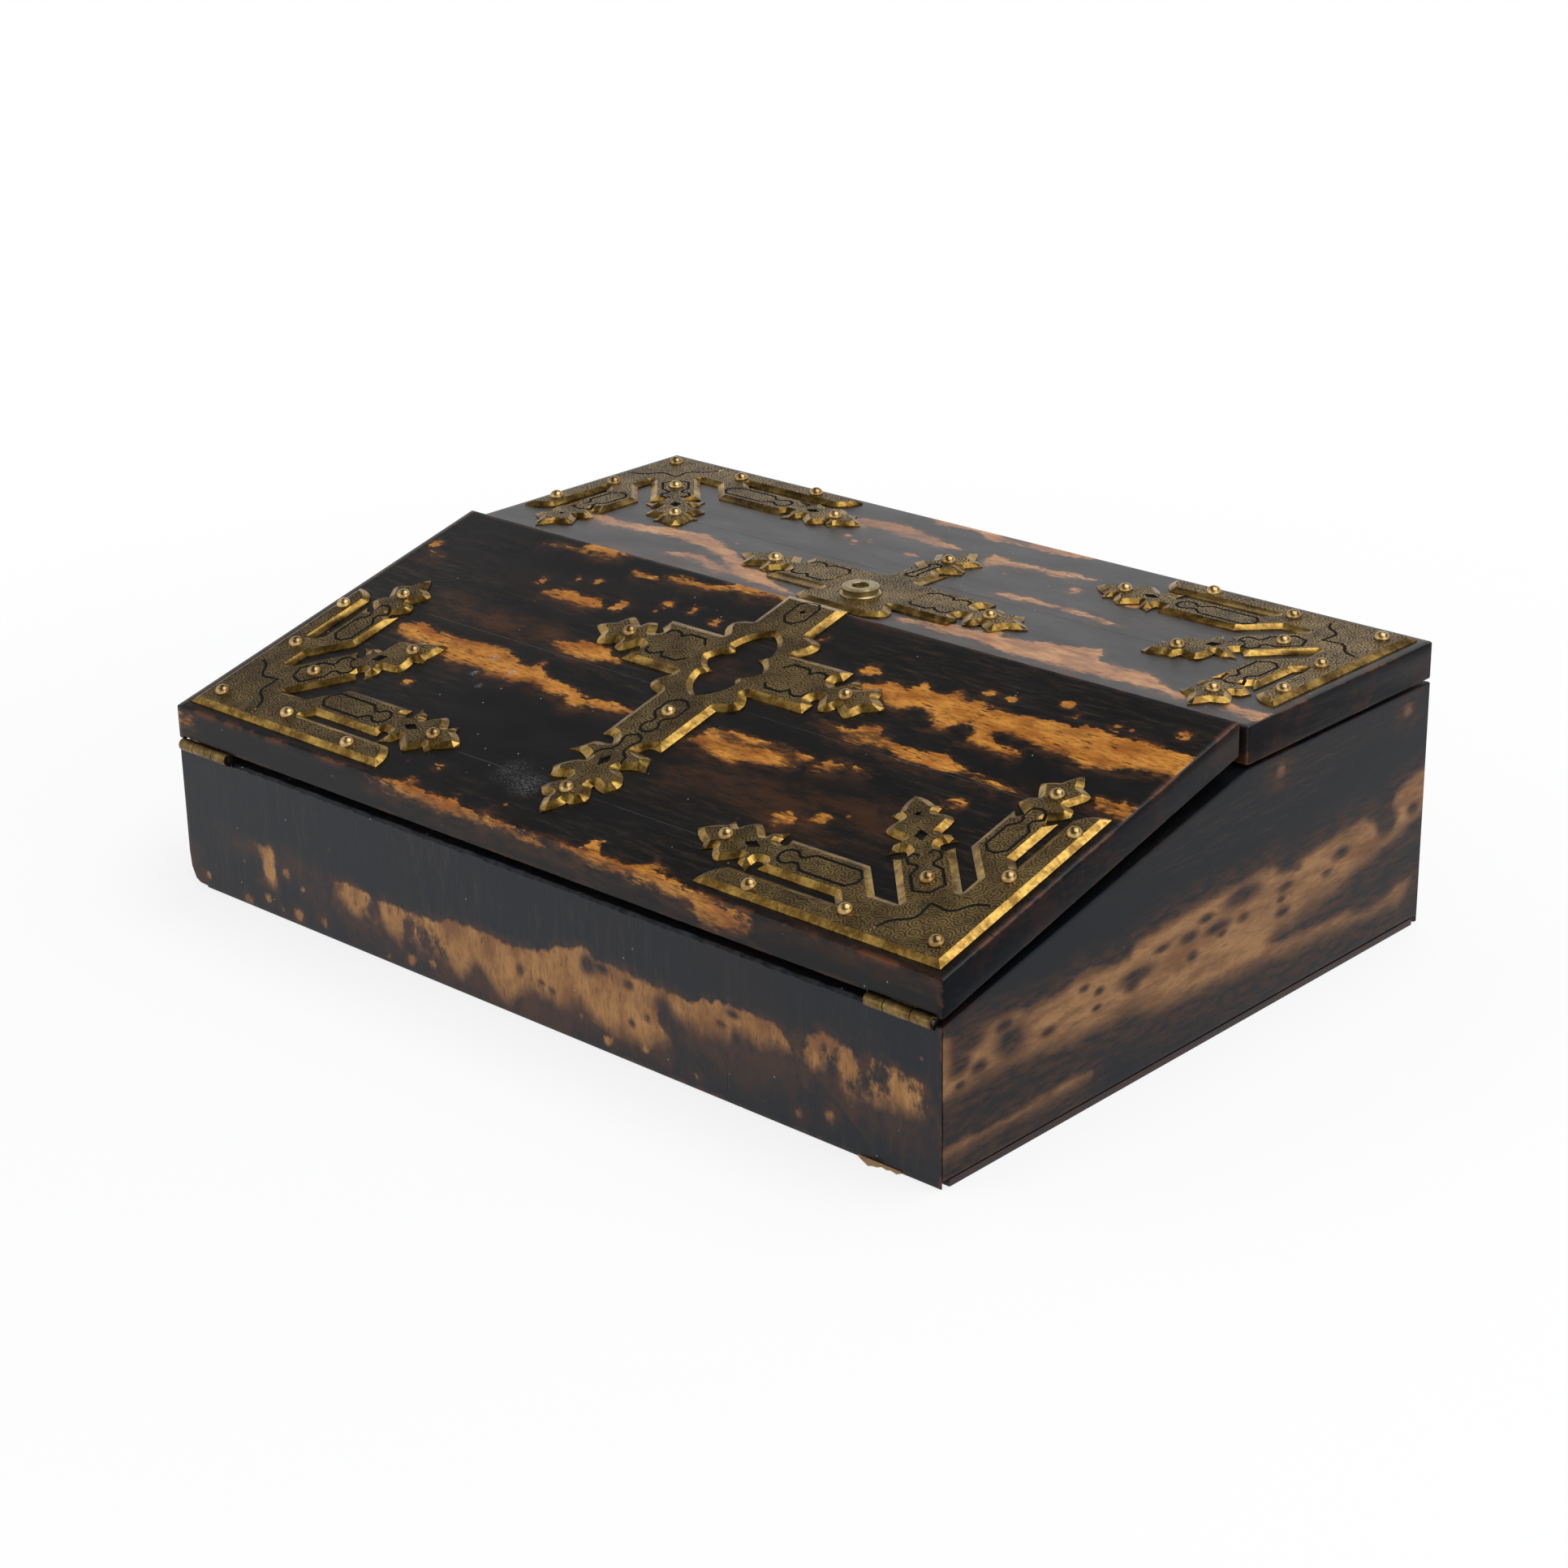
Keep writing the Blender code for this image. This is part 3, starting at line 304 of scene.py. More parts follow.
# %% Parts of the veneer
def spots(tree, where, scale, share, inner, outer):
    """Round spots: one in some cells of a cell pattern."""
    cells = add(tree, "TexVoronoi", {"Vector": where, "Scale": scale})
    pick = add(tree, "SeparateColor", {0: cells.outputs["Color"]}).outputs[0]
    chosen = sums(tree, "GREATER_THAN", pick, 1.0 - share)
    return times(tree, eased(tree, cells.outputs["Distance"], outer, inner), chosen)


def veined(tree, value, first, second, share):
    """Mixes some of a second colour into a first where a value is high."""
    return blended(tree, times(tree, value, share), first, second)


def ruffled(tree, grain, streak, rough):
    """The streak distance, ruffled by clouds of three sizes."""
    field = streak
    for scale, reach in zip((24, 95, 330), rough):
        cloud = cloudy(tree, grain, scale, 3, 0.55, 0.3)
        field = sums(tree, "ADD", field, scaled(tree, cloud, 2 * reach, -reach))
    return field


def pale_wood(tree, grain, hair, tan_low, tan_high, dashes):
    """The patches: two tans with brown blots, pores and dark scratches."""
    tan = blended(tree, eased(tree, cloudy(tree, grain, 55, 4, 0.6), 0.34, 0.66), tan_low, tan_high)
    blots = eased(tree, cloudy(tree, grain, 30, 4, 0.65), 0.52, 0.66)
    tan = veined(tree, blots, tan, colour(0.15, 0.052, 0.012), 0.5)
    pores = eased(tree, cloudy(tree, hair, 240, 3, 0.6), 0.5, 0.62)
    tan = veined(tree, pores, tan, colour(0.13, 0.043, 0.010), 0.75 * dashes)
    scratch = eased(tree, cloudy(tree, hair, 120, 4, 0.65), 0.61, 0.66)
    return veined(tree, scratch, tan, colour(0.03, 0.012, 0.005), dashes)


def dark_wood(tree, grain, hair, night, faint, halo):
    """The black ground: veins, grit along the grain, faint places and a halo round the patches."""
    veins = eased(tree, cloudy(tree, grain, 14, 4, 0.6), 0.5, 0.75)
    shade = veined(tree, veins, night, colour(0.016, 0.010, 0.007), 0.6)
    grit = times(tree, eased(tree, cloudy(tree, hair, 70, 6, 0.75), 0.45, 0.75),
                 eased(tree, cloudy(tree, grain, 11, 3), 0.35, 0.65))
    shade = veined(tree, grit, shade, colour(0.040, 0.026, 0.017), 0.9)
    shade = veined(tree, faint, shade, colour(0.10, 0.037, 0.011), 0.65)
    return veined(tree, halo, shade, colour(0.075, 0.029, 0.010), 0.8)


def specked(tree, plain, shade, streak, freckle, worn, powder):
    """A shade with pale freckles near the patches, rubbed edges, dust and white powder."""
    near = eased(tree, streak, -15.0, -2.0)
    dots = times(tree, spots(tree, plain, 95.0, 0.3, 0.06, 0.11), near)
    dots = sums(tree, "MAXIMUM", dots, spots(tree, plain, 70.0, 0.05, 0.035, 0.075))
    shade = veined(tree, dots, shade, freckle, 0.75)
    rubbed = times(tree, worn, eased(tree, cloudy(tree, plain, 70, 4, 0.7), 0.47, 0.6))
    shade = veined(tree, rubbed, shade, colour(0.24, 0.078, 0.02), 0.5)
    dust = spots(tree, plain, 220.0, 0.22, 0.03, 0.09)
    shade = veined(tree, dust, shade, colour(0.45, 0.43, 0.40), 0.6)
    for place, reach, share in powder:
        away = vectors(tree, "DISTANCE", plain, place)["Value"]
        grains = eased(tree, cloudy(tree, plain, 1500, 3, 0.8), 0.46, 0.64)
        grains = times(tree, grains, eased(tree, away, reach, 0.0))
        shade = veined(tree, grains, shade, colour(0.42, 0.42, 0.44), share)
    return shade


def glue_line(tree, plain, place):
    """The thin straight line at a place along Y where two sheets of veneer meet."""
    across = add(tree, "SeparateXYZ", {0: plain}).outputs["Y"]
    gap = sums(tree, "ABSOLUTE", minus(tree, across, place))
    return eased(tree, gap, 0.34 * MM, 0.16 * MM)


def crack_line(tree, plain, place, low, high):
    """A thin upright crack at a place along X, between two heights."""
    part = add(tree, "SeparateXYZ", {0: plain}).outputs
    bend = scaled(tree, cloudy(tree, plain, 90, 3, 0.7), 4 * MM, -2 * MM)
    gap = sums(tree, "ABSOLUTE", minus(tree, sums(tree, "ADD", part["X"], bend), place))
    fade = 3 * MM
    inside = times(tree, eased(tree, part["Z"], low, low + fade), eased(tree, part["Z"], high, high - fade))
    return times(tree, eased(tree, gap, 0.32 * MM, 0.1 * MM), inside)


print("veneer parts ready")

# %% [markdown]
# The finish reads the attributes and puts the parts together. It ruffles the edges of the patches with
# noise drawn out along the grain, breaks the patches up and lays pores, freckles, dust and lines over them.

# %% Striped wood finish
def striped_wood(name, stretch, rough, widths, night, tans, dashes, smooth, sheen, tint,
                 joints=(), cracks=(), powder=()):
    """The veneer of one board. Rough is how far clouds of three sizes push the edges of the patches, widths
    how wide a sharp edge fades and how much wider a soft one does, all in millimetres."""
    made, tree, shader = new_finish(name)
    grain, plain = stretched(tree, stretch), stretched(tree, (1, 1, 1))
    hair = stretched(tree, tuple(1.0 if s == 1 else 3.2 * s for s in stretch))
    labels = ("streak", "soft", "dim", "cloud", "brown", "edge")
    streak, soft, dim, cloud, brown, worn = [add(tree, "Attribute", attribute_name=label).outputs["Fac"]
                                             for label in labels]
    field = ruffled(tree, grain, streak, rough)
    reach = sums(tree, "DIVIDE", field, scaled(tree, soft, widths[1], widths[0]))
    fine = cloudy(tree, grain, 120, 4, 0.6)
    cover = minus(tree, eased(tree, cloudy(tree, grain, 48, 5, 0.65), 0.34, 0.66), dim)
    pale = times(tree, eased(tree, reach, -0.6, 1.0), eased(tree, cover, -0.4, 0.1))
    oval = scaled(tree, cloudy(tree, grain, 110, 3), 0.4, minus(tree, cloud, 0.2))
    pale = times(tree, pale, eased(tree, oval, 0.95, 0.1))
    halo = times(tree, eased(tree, reach, -4.0, 0.6), eased(tree, fine, 0.34, 0.66))
    faint = times(tree, brown, eased(tree, cloudy(tree, grain, 36, 5, 0.7), 0.36, 0.66))
    shade = dark_wood(tree, grain, hair, night, faint, halo)
    shade = blended(tree, pale, shade, pale_wood(tree, grain, hair, *tans, dashes))
    shade = specked(tree, plain, shade, streak, tans[0], worn, powder)
    height = scaled(tree, fine, 0.6, cloudy(tree, hair, 300, 2, 0.6))
    lines = [glue_line(tree, plain, place) for place in joints]
    lines += [crack_line(tree, plain, *crack) for crack in cracks]
    for line in lines:
        shade = blended(tree, line, shade, colour(0.002, 0.002, 0.002))
        height = minus(tree, height, times(tree, line, 3.0))
    dullness = scaled(tree, cloudy(tree, grain, 40, 3), 0.16, smooth)
    fill(tree, shader, {"Base Color": shade, "Roughness": dullness,
                        "Specular IOR Level": sheen, "Specular Tint": tint})
    roughen(tree, shader, height, 0.26, 0.12 * MM)
    return made


print("veneer finish ready")

# %% [markdown]
# Each kind of board has its own colours, gloss and direction of the grain. Glue lines between sheets of
# veneer, upright cracks in the front and a little white powder on the flap have set places.

# %% Veneers of the boards
# The walls' night is bluish and their gloss tinted blue: dark wood, with a painted blue sheen.
blue_sheen_night, brown_night = colour(0.0058, 0.0066, 0.0086), colour(0.0052, 0.0046, 0.0044)
flap_tans = colour(0.33, 0.105, 0.012), colour(0.60, 0.255, 0.042)
lid_tans = colour(0.28, 0.105, 0.030), colour(0.54, 0.25, 0.080)
front_tans = colour(0.24, 0.096, 0.024), colour(0.49, 0.238, 0.070)
side_tans = colour(0.20, 0.094, 0.035), colour(0.35, 0.178, 0.068)
# The blue gloss tint of the walls paints a blue sheen into their reflections.
blue_sheen_tint, neutral = colour(0.80, 0.88, 1.0), colour(0.97, 0.97, 1.0)
flap_joints = [front + along * MM * math.cos(slope) for along in (24.0, 84.6)]
lid_joints = [lid_front + 44.6 * MM]
front_cracks = [(x * MM, low * MM, high * MM) for x, low, high in (
    (-81, 39, 49), (6, 33, 44), (122, 30, 39), (89.5, 3, 15))]
flap_powder = [(on_flap(x * MM, y * MM, 0), reach * MM, share) for x, y, reach, share in (
    (-16, 19.5, 9, 0.32), (-27, 23.0, 10, 0.17), (-85.5, 62.4, 2.5, 0.8), (-86, 73, 3, 0.8),
    (-73, 68.4, 3, 0.8), (-78, 57, 2, 0.8))]
flap_wood = striped_wood(
    "flap_veneer", stretch=(1, 2.4, 2.4), rough=(2.4, 3.2, 2.6), widths=(0.7, 1.4), night=brown_night,
    tans=flap_tans, dashes=0.9, smooth=0.16, sheen=0.2, tint=neutral, joints=flap_joints,
    powder=flap_powder)
lid_wood = striped_wood(
    "lid_veneer", stretch=(1, 2.4, 2.4), rough=(2.4, 3.4, 3.0), widths=(0.9, 1.2), night=brown_night,
    tans=lid_tans, dashes=0.8, smooth=0.26, sheen=0.58, tint=neutral, joints=lid_joints)
front_wood = striped_wood(
    "front_veneer", stretch=(1.5, 3, 1), rough=(2.6, 2.6, 1.4), widths=(1.1, 4.0), night=blue_sheen_night,
    tans=front_tans, dashes=0.45, smooth=0.24, sheen=0.3, tint=blue_sheen_tint, cracks=front_cracks)
side_grain = dict(stretch=(4, 1, 4), rough=(2.2, 1.4, 0.7), widths=(3.0, 3.0))
side_colours = dict(night=blue_sheen_night, tans=side_tans, dashes=0.35, tint=blue_sheen_tint)
side_wood = striped_wood("side_veneer", smooth=0.24, sheen=0.14, **side_grain, **side_colours)
end_wood = striped_wood("end_veneer", smooth=0.3, sheen=0.05, **side_grain, **side_colours)
print("veneers:", [m.name for m in bpy.data.materials if "veneer" in m.name])

# %% [markdown]
# Some shapes are needed again and again: prisms and rods along X, as cutters and as plain blocks. A Boolean
# takes cutters out of a mesh or joins them to it, and its result is kept as a plain mesh. Every finished
# piece rides on a body of the solids, so that it moves when the box is opened.

# %% Helpers for plain blocks
def block(*rings):
    """A bmesh block through two or more rings of points."""
    bm = bmesh.new()
    rows = [[bm.verts.new(point) for point in ring] for ring in rings]
    bm.faces.new(rows[0])
    bm.faces.new(rows[-1][::-1])
    for low, high in zip(rows, rows[1:]):
        for i in range(len(low)):
            j = (i + 1) % len(low)
            bm.faces.new((low[j], low[i], high[i], high[j]))
    bmesh.ops.recalc_face_normals(bm, faces=bm.faces)
    return bm


def along_x(profile, low, high):
    """A prism along X from a profile of (y, z) points."""
    return block([(low, y, z) for y, z in profile], [(high, y, z) for y, z in profile])


def cuboid(low, high):
    profile = [(low[1], low[2]), (high[1], low[2]), (high[1], high[2]), (low[1], high[2])]
    return along_x(profile, low[0], high[0])


def rod_x(low, high, y, z, radius, sides=32):
    turns = [2 * math.pi * i / sides for i in range(sides)]
    return along_x([(y + radius * math.cos(t), z + radius * math.sin(t)) for t in turns], low, high)


def shaded(mesh, sharp=30):
    """The mesh shaded smooth, but for edges that turn by more than some degrees."""
    mesh.shade_smooth()
    mesh.set_sharp_from_angle(angle=math.radians(sharp))
    return mesh


def to_mesh(bm, name, *materials):
    mesh = bpy.data.meshes.new(name)
    bm.to_mesh(mesh)
    bm.free()
    for material in materials:
        mesh.materials.append(material)
    return shaded(mesh)


def frozen(holder):
    """The mesh of an object as its modifiers leave it."""
    bpy.context.view_layer.update()
    return bpy.data.meshes.new_from_object(holder.evaluated_get(bpy.context.evaluated_depsgraph_get()))


def carved(mesh, cutters, way="DIFFERENCE"):
    """The mesh with every cutter taken out of it, or joined to it."""
    work = placed("work", mesh)
    tools = []
    for bm in cutters:
        tool = placed("tool", to_mesh(bm, "tool"))
        cut = work.modifiers.new("cut", "BOOLEAN")
        cut.operation, cut.solver, cut.object = way, "EXACT", tool
        tools.append(tool)
    result = frozen(work)
    for used in tools + [work]:
        bpy.data.objects.remove(used)
    return result


def piece(name, mesh, body, slot, *replaced):
    """An object that moves with a body of the solids and stands for some of their nodes."""
    mesh.name = name
    made = placed(name, mesh)
    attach(made, body)
    if replaced:
        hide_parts(*replaced)
    print(name, "on", body, "with", len(mesh.polygons), "faces")


print("block helpers ready")

# %% [markdown]
# A board is built ring by ring along its length, like a loaf of thin slices. Each slice is the outline of
# the board with rounded corners and closely set points, because the attributes live on the points. Hollows
# for hinges and the lock are cut with a Boolean afterwards.

# %% Helpers for boards
def slice_outline(corners, radius, pitches):
    """Points and outward normals of a slice: rounded corners, and sides with points at given pitches."""
    count = len(corners)
    ways = [(Vector(corners[(i + 1) % count]) - Vector(corners[i])).normalized() for i in range(count)]
    normals = [Vector((way.y, -way.x)) for way in ways]
    trims = []
    for i in range(count):
        hollow = ways[i - 1].cross(ways[i]) < 0
        trims.append(0.0 if hollow else radius * math.tan(ways[i - 1].angle(ways[i]) / 2))
    points, outward = [], []
    for i, corner in enumerate(corners):
        start = Vector(corner) - ways[i - 1] * trims[i]
        centre = start - normals[i - 1] * radius
        for share in (0.0, 0.25, 0.5, 0.75, 1.0) if trims[i] else (0.5,):
            normal = (normals[i - 1] * (1 - share) + normals[i] * share).normalized()
            points.append(tuple(centre + normal * radius) if trims[i] else tuple(corner))
            outward.append(tuple(normal))
        first = Vector(corner) + ways[i] * trims[i]
        last = Vector(corners[(i + 1) % count]) - ways[i] * trims[(i + 1) % count]
        steps = max(1, round((last - first).length / pitches[i]))
        for k in range(1, steps):
            points.append(tuple(first.lerp(last, k / steps)))
            outward.append(tuple(normals[i]))
    return np.array(points), np.array(outward)


def even_steps(low, high, pitch, rounding):
    """Places along a board, with two more close to each end for its rounding."""
    count = round((high - low - 2 * rounding) / pitch)
    middle = [low + rounding + (high - low - 2 * rounding) * i / count for i in range(count + 1)]
    return [low, low + 0.3 * rounding] + middle + [high - 0.3 * rounding, high]


def loaf(name, rings, *materials):
    """A closed mesh through rings of points, in order."""
    count, size = len(rings), len(rings[0])
    faces = [tuple(range(size))[::-1], tuple(range((count - 1) * size, count * size))]
    for i in range(count - 1):
        for j in range(size):
            k = (j + 1) % size
            faces.append((i * size + j, i * size + k, (i + 1) * size + k, (i + 1) * size + j))
    mesh = bpy.data.meshes.new(name)
    mesh.from_pydata([tuple(p) for ring in rings for p in ring], [], faces)
    bm = bmesh.new()
    bm.from_mesh(mesh)
    bmesh.ops.recalc_face_normals(bm, faces=bm.faces)
    return to_mesh(bm, name, *materials)


def inset_at(position, low, high, rounding):
    """How far a slice is drawn in near the ends, so that the ends are rounded too."""
    gap = min(position - low, high - position)
    return rounding - math.sqrt(max(0.0, rounding ** 2 - (rounding - gap) ** 2)) if gap < rounding else 0.0


print("board helpers ready")

# %% [markdown]
# The patches are drawn as outlines on each face, in millimetres, and so are the dark clouds, as
# ellipses. Two short functions measure how far each point of a board lies inside or outside them. A patch
# with a dull value of 0.6 or more is only a faint brown place.

# %% Distances to the patches
no_patch, far_off, faint_from = -20.0, 1e6, 0.6


def line_pieces(lines, closed):
    ends = []
    for line in lines:
        points = [np.array(p, dtype=float) for p in line]
        ends += list(zip(points, points[1:] + points[:1] if closed else points[1:]))
    return [(a, b) for a, b in ends if np.hypot(*(b - a)) > 1e-6]


def distance_to(points, pieces):
    """Distance from each point to the nearest of some straight stretches, in a face or in space."""
    best = np.full(len(points), far_off)
    for first, second in pieces:
        run = second - first
        share = np.clip(((points - first) @ run) / (run @ run), 0, 1)
        best = np.minimum(best, np.linalg.norm(points - first - share[:, None] * run, axis=1))
    return best


def inside_of(points, pieces):
    """True for each point that some closed lines surround an odd number of times."""
    hits = np.zeros(len(points), dtype=bool)
    x, y = points[:, 0], points[:, 1]
    for (x0, y0), (x1, y1) in pieces:
        if y0 == y1:
            continue
        crosses = (y0 > y) != (y1 > y)
        hits ^= crosses & (x < x0 + (y - y0) * (x1 - x0) / (y1 - y0))
    return hits


def patch_fields(points, patches, dots, clouds):
    """Distance to the patches, how soft their edge is, how broken they are, dark ovals and brown places."""
    streak = np.full(len(points), no_patch)
    soft, dim, cloud, brown = np.zeros((4, len(points)))
    for outline, dull in patches:
        rim = line_pieces([outline], True)
        gap, under = np.full(len(points), far_off), np.zeros(len(points))
        for first, second in rim:
            away = distance_to(points, [(first, second)])
            run = second - first
            under = np.where(away < gap, max(0.0, -run[0] / np.hypot(*run)), under)
            gap = np.minimum(gap, away)
        signed = gap * np.where(inside_of(points, rim), 1, -1)
        if dull >= faint_from:
            brown = np.maximum(brown, (2.2 - 2 * dull) * np.clip((signed + 4) / 8, 0, 1))
            continue
        nearer = signed > streak
        soft = np.where(nearer, under, soft)
        dim = np.where(nearer & (signed > -3), dull, dim)
        streak = np.maximum(streak, signed)
    for u, v, radius in dots:
        signed = radius - np.hypot(points[:, 0] - u, points[:, 1] - v)
        soft = np.where(signed > streak, 0.0, soft)
        streak = np.maximum(streak, signed + 0.3)
    for u, v, wide, high in clouds:
        away = np.hypot((points[:, 0] - u) / (wide + 0.4), (points[:, 1] - v) / (high + 0.4))
        cloud = np.maximum(cloud, np.clip((1.7 - away) / 1.4, 0, 1))
    return streak, soft, dim, cloud, brown


print("distance helpers ready")

# %% [markdown]
# A board is cut first, and then its points get their attributes. A function for each face says where on it
# a point lies. The inner faces and the ends of a board get finishes of their own.

# %% Attributes on a board
rubbed_reach = 1.6 * MM


def places_of(mesh):
    flat = np.empty(len(mesh.vertices) * 3)
    mesh.vertices.foreach_get("co", flat)
    return flat.reshape(-1, 3)


def give(mesh, name, values):
    layer = mesh.attributes.new(name, "FLOAT", "POINT")
    layer.data.foreach_set("value", np.ascontiguousarray(values, dtype=np.float32))


def veneer(mesh, cutters, face, shown, marks, edges, inner):
    """Cuts a board, gives its points their attributes and its inner and end faces their own materials."""
    mesh = shaded(carved(mesh, cutters))
    points = places_of(mesh)
    streak, soft, dim, cloud, brown = patch_fields(np.stack(face(points), -1), *marks)
    give(mesh, "streak", np.where(shown(points), streak, no_patch))
    give(mesh, "brown", np.where(shown(points), brown, 0.0))
    for label, values in (("soft", soft), ("dim", dim), ("cloud", cloud)):
        give(mesh, label, values)
    away = distance_to(points, [(np.array(first), np.array(second)) for first, second in edges])
    inside = np.abs(points[:, 0]) < half_width - 0.001 * MM
    give(mesh, "edge", np.clip(1 - away / rubbed_reach, 0, 1) * np.where(inside, 1.0, 0.2))
    ends = max(0, mesh.materials.find("end_veneer"))
    for polygon in mesh.polygons:
        if inner and polygon.normal.dot(inner) > 0.9:
            polygon.material_index = 1
        elif abs(polygon.normal.x) > 0.9 and ends:
            polygon.material_index = ends
    return mesh


def face_of_flap(points):
    """Along the slope, and with negative numbers down the front face."""
    along = (points[:, 1] - front) / math.cos(slope)
    down = points[:, 2] - flap_front_top
    along = np.where(along < 0.6 * MM, np.minimum(down, along), along)
    return (points[:, 0] + half_width) / MM, along / MM


def faced(axis, start, way, upward=2, base=0.0):
    """A function for a flat face: how far along an axis and how far up a point lies, in millimetres."""
    def face(points):
        return way * (points[:, axis] - start) / MM, (points[:, upward] - base) / MM
    return face


face_of_lid = faced(0, -half_width, 1, upward=1, base=lid_front)
face_of_front, face_of_back = faced(0, -half_width, 1), faced(0, half_width, -1)
face_of_right, face_of_left = faced(1, front, 1), faced(1, back, -1)
print("attribute helpers ready")

# %% [markdown]
# Inside, the box is plain reddish wood, and so are the inner faces of its walls and lid. The grain runs
# along X in most pieces and along Y in the side walls, so the same finish is made twice, with its noise
# drawn out one way or the other. The base board is darker: dark wood, and painted shade of the gap under
# the walls.

# %% Plain wood finish
def plain_wood(name, dark, light, stretch, smooth):
    made, tree, shader = new_finish(name)
    grain = stretched(tree, stretch)
    rings = cloudy(tree, grain, 30, 5, 0.6, 0.6)
    pores = cloudy(tree, grain, 340, 2, 0.6)
    shade = blended(tree, eased(tree, rings, 0.3, 0.7), dark, light)
    shade = blended(tree, times(tree, eased(tree, pores, 0.55, 0.7), 0.6), shade, dark)
    fill(tree, shader, {"Base Color": shade, "Roughness": scaled(tree, rings, 0.15, smooth)})
    roughen(tree, shader, pores, 0.15, 0.12 * MM)
    return made


# The base board's browns are very dark: its own dark wood, and painted shade of the gap under the walls.
base_browns_and_shade = colour(0.010, 0.003, 0.002), colour(0.035, 0.012, 0.008)
inside_browns = colour(0.10, 0.035, 0.014), colour(0.22, 0.085, 0.036)
base_wood = plain_wood("base_board_wood", *base_browns_and_shade, stretch=(1, 4, 4), smooth=0.5)
fitting_wood = plain_wood("fitting_wood", *inside_browns, stretch=(1, 6, 6), smooth=0.36)
upright_wood = plain_wood("upright_wood", *inside_browns, stretch=(6, 1, 6), smooth=0.36)
print("plain woods:", [m.name for m in (base_wood, fitting_wood, upright_wood)])

# %% [markdown]
# Each hinge leaf lies in a shallow seat and its barrel in a round hollow along the edge of the board. The
# seats are prisms that follow the slope of the wood, and their places come from the hinge pins.

# %% Hinge seats
hinge_names = [f"{row}_hinge_{side}" for row in ("front", "rear") for side in ("left", "right")]
barrel_radius, relief = 2.2 * MM, 0.5 * MM
leaf_thick, leaf_reach, fit = 0.8 * MM, 9.0 * MM, 0.3 * MM
front_gap, flap_rear_thick = 2.3 * MM, 11.7 * MM
front_height, rear_height = flap_front_bottom - front_gap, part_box("left_wall")[1][2]
flap_rear_bottom = flap_rear_top - flap_rear_thick


def wall_top(y):
    """Height of the walls at a place along Y: a slope, then level under the lid."""
    rise = (rear_height - front_height) / (lid_front - front)
    return min(rear_height, front_height + rise * (y - front))


def flap_under(y):
    rise = (flap_rear_bottom - flap_front_bottom) / (flap_rear - front)
    return flap_front_bottom + rise * (y - front)


def lid_under(y):
    return lid_bottom


def hinge_axis(name):
    low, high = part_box(name + "_pin")
    return (low[1] + high[1]) / 2, (low[2] + high[2]) / 2


def seats(name, surface, upward):
    """The cutters for one leaf: its seat and the hollow for the barrel."""
    y, z = hinge_axis(name)
    inward = 1 if "front" in name else -1
    low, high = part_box(name + "_pin")
    x_ends = (low[0] - fit, high[0] + fit)
    near, far = y - inward * barrel_radius, y + inward * (leaf_reach + fit)
    bottom, top = (-leaf_thick, barrel_radius) if upward else (-barrel_radius, leaf_thick)
    profile = [(near, surface(near) + bottom), (far, surface(far) + bottom),
               (far, surface(far) + top), (near, surface(near) + top)]
    return [along_x(profile, *x_ends), rod_x(*x_ends, y, z, barrel_radius + relief)]


print("hinges:", [(n, [round(v / MM, 2) for v in hinge_axis(n)]) for n in hinge_names])

# %% [markdown]
# The edges along the front gap and at the foot of the front wall are bruised. A long wedge with uneven
# rings is cut away there. The unevenness comes from random numbers with a set seed, and each ring keeps a
# share of the one before, so that the edge wanders instead of jumping.

# %% Bruised edges
chip_pitch, chip_over, chip_keeps = 1.3 * MM, 0.2 * MM, 0.45
gap_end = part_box("front_hinge_right_pin")[0][0] - 0.8 * MM


def worn_edge(low, high, z, tall, deep, ragged):
    """A wedge that takes the edge off the front along X. Tall is negative for an upper edge."""
    chance = np.random.default_rng(7)
    outside, over = front - MM, z - chip_over * math.copysign(1, tall)
    rings = []
    more, wider = 1.0, 1.0
    for x in np.linspace(low, high, round((high - low) / chip_pitch)):
        drawn = chance.uniform(1 - ragged, 1 + ragged, 2)
        more, wider = chip_keeps * np.array((more, wider)) + (1 - chip_keeps) * drawn
        rings.append([(x, outside, z + tall * more), (x, front + deep * wider, over), (x, outside, over)])
    return block(*rings)


print("the gap is bruised along", round(2 * gap_end / MM), "mm")

# %% [markdown]
# The flap and the lid are the boards that show most, so their patches follow the photograph closely. Each
# patch is an outline and a value for how dull it is. Each dot is a place and a radius.

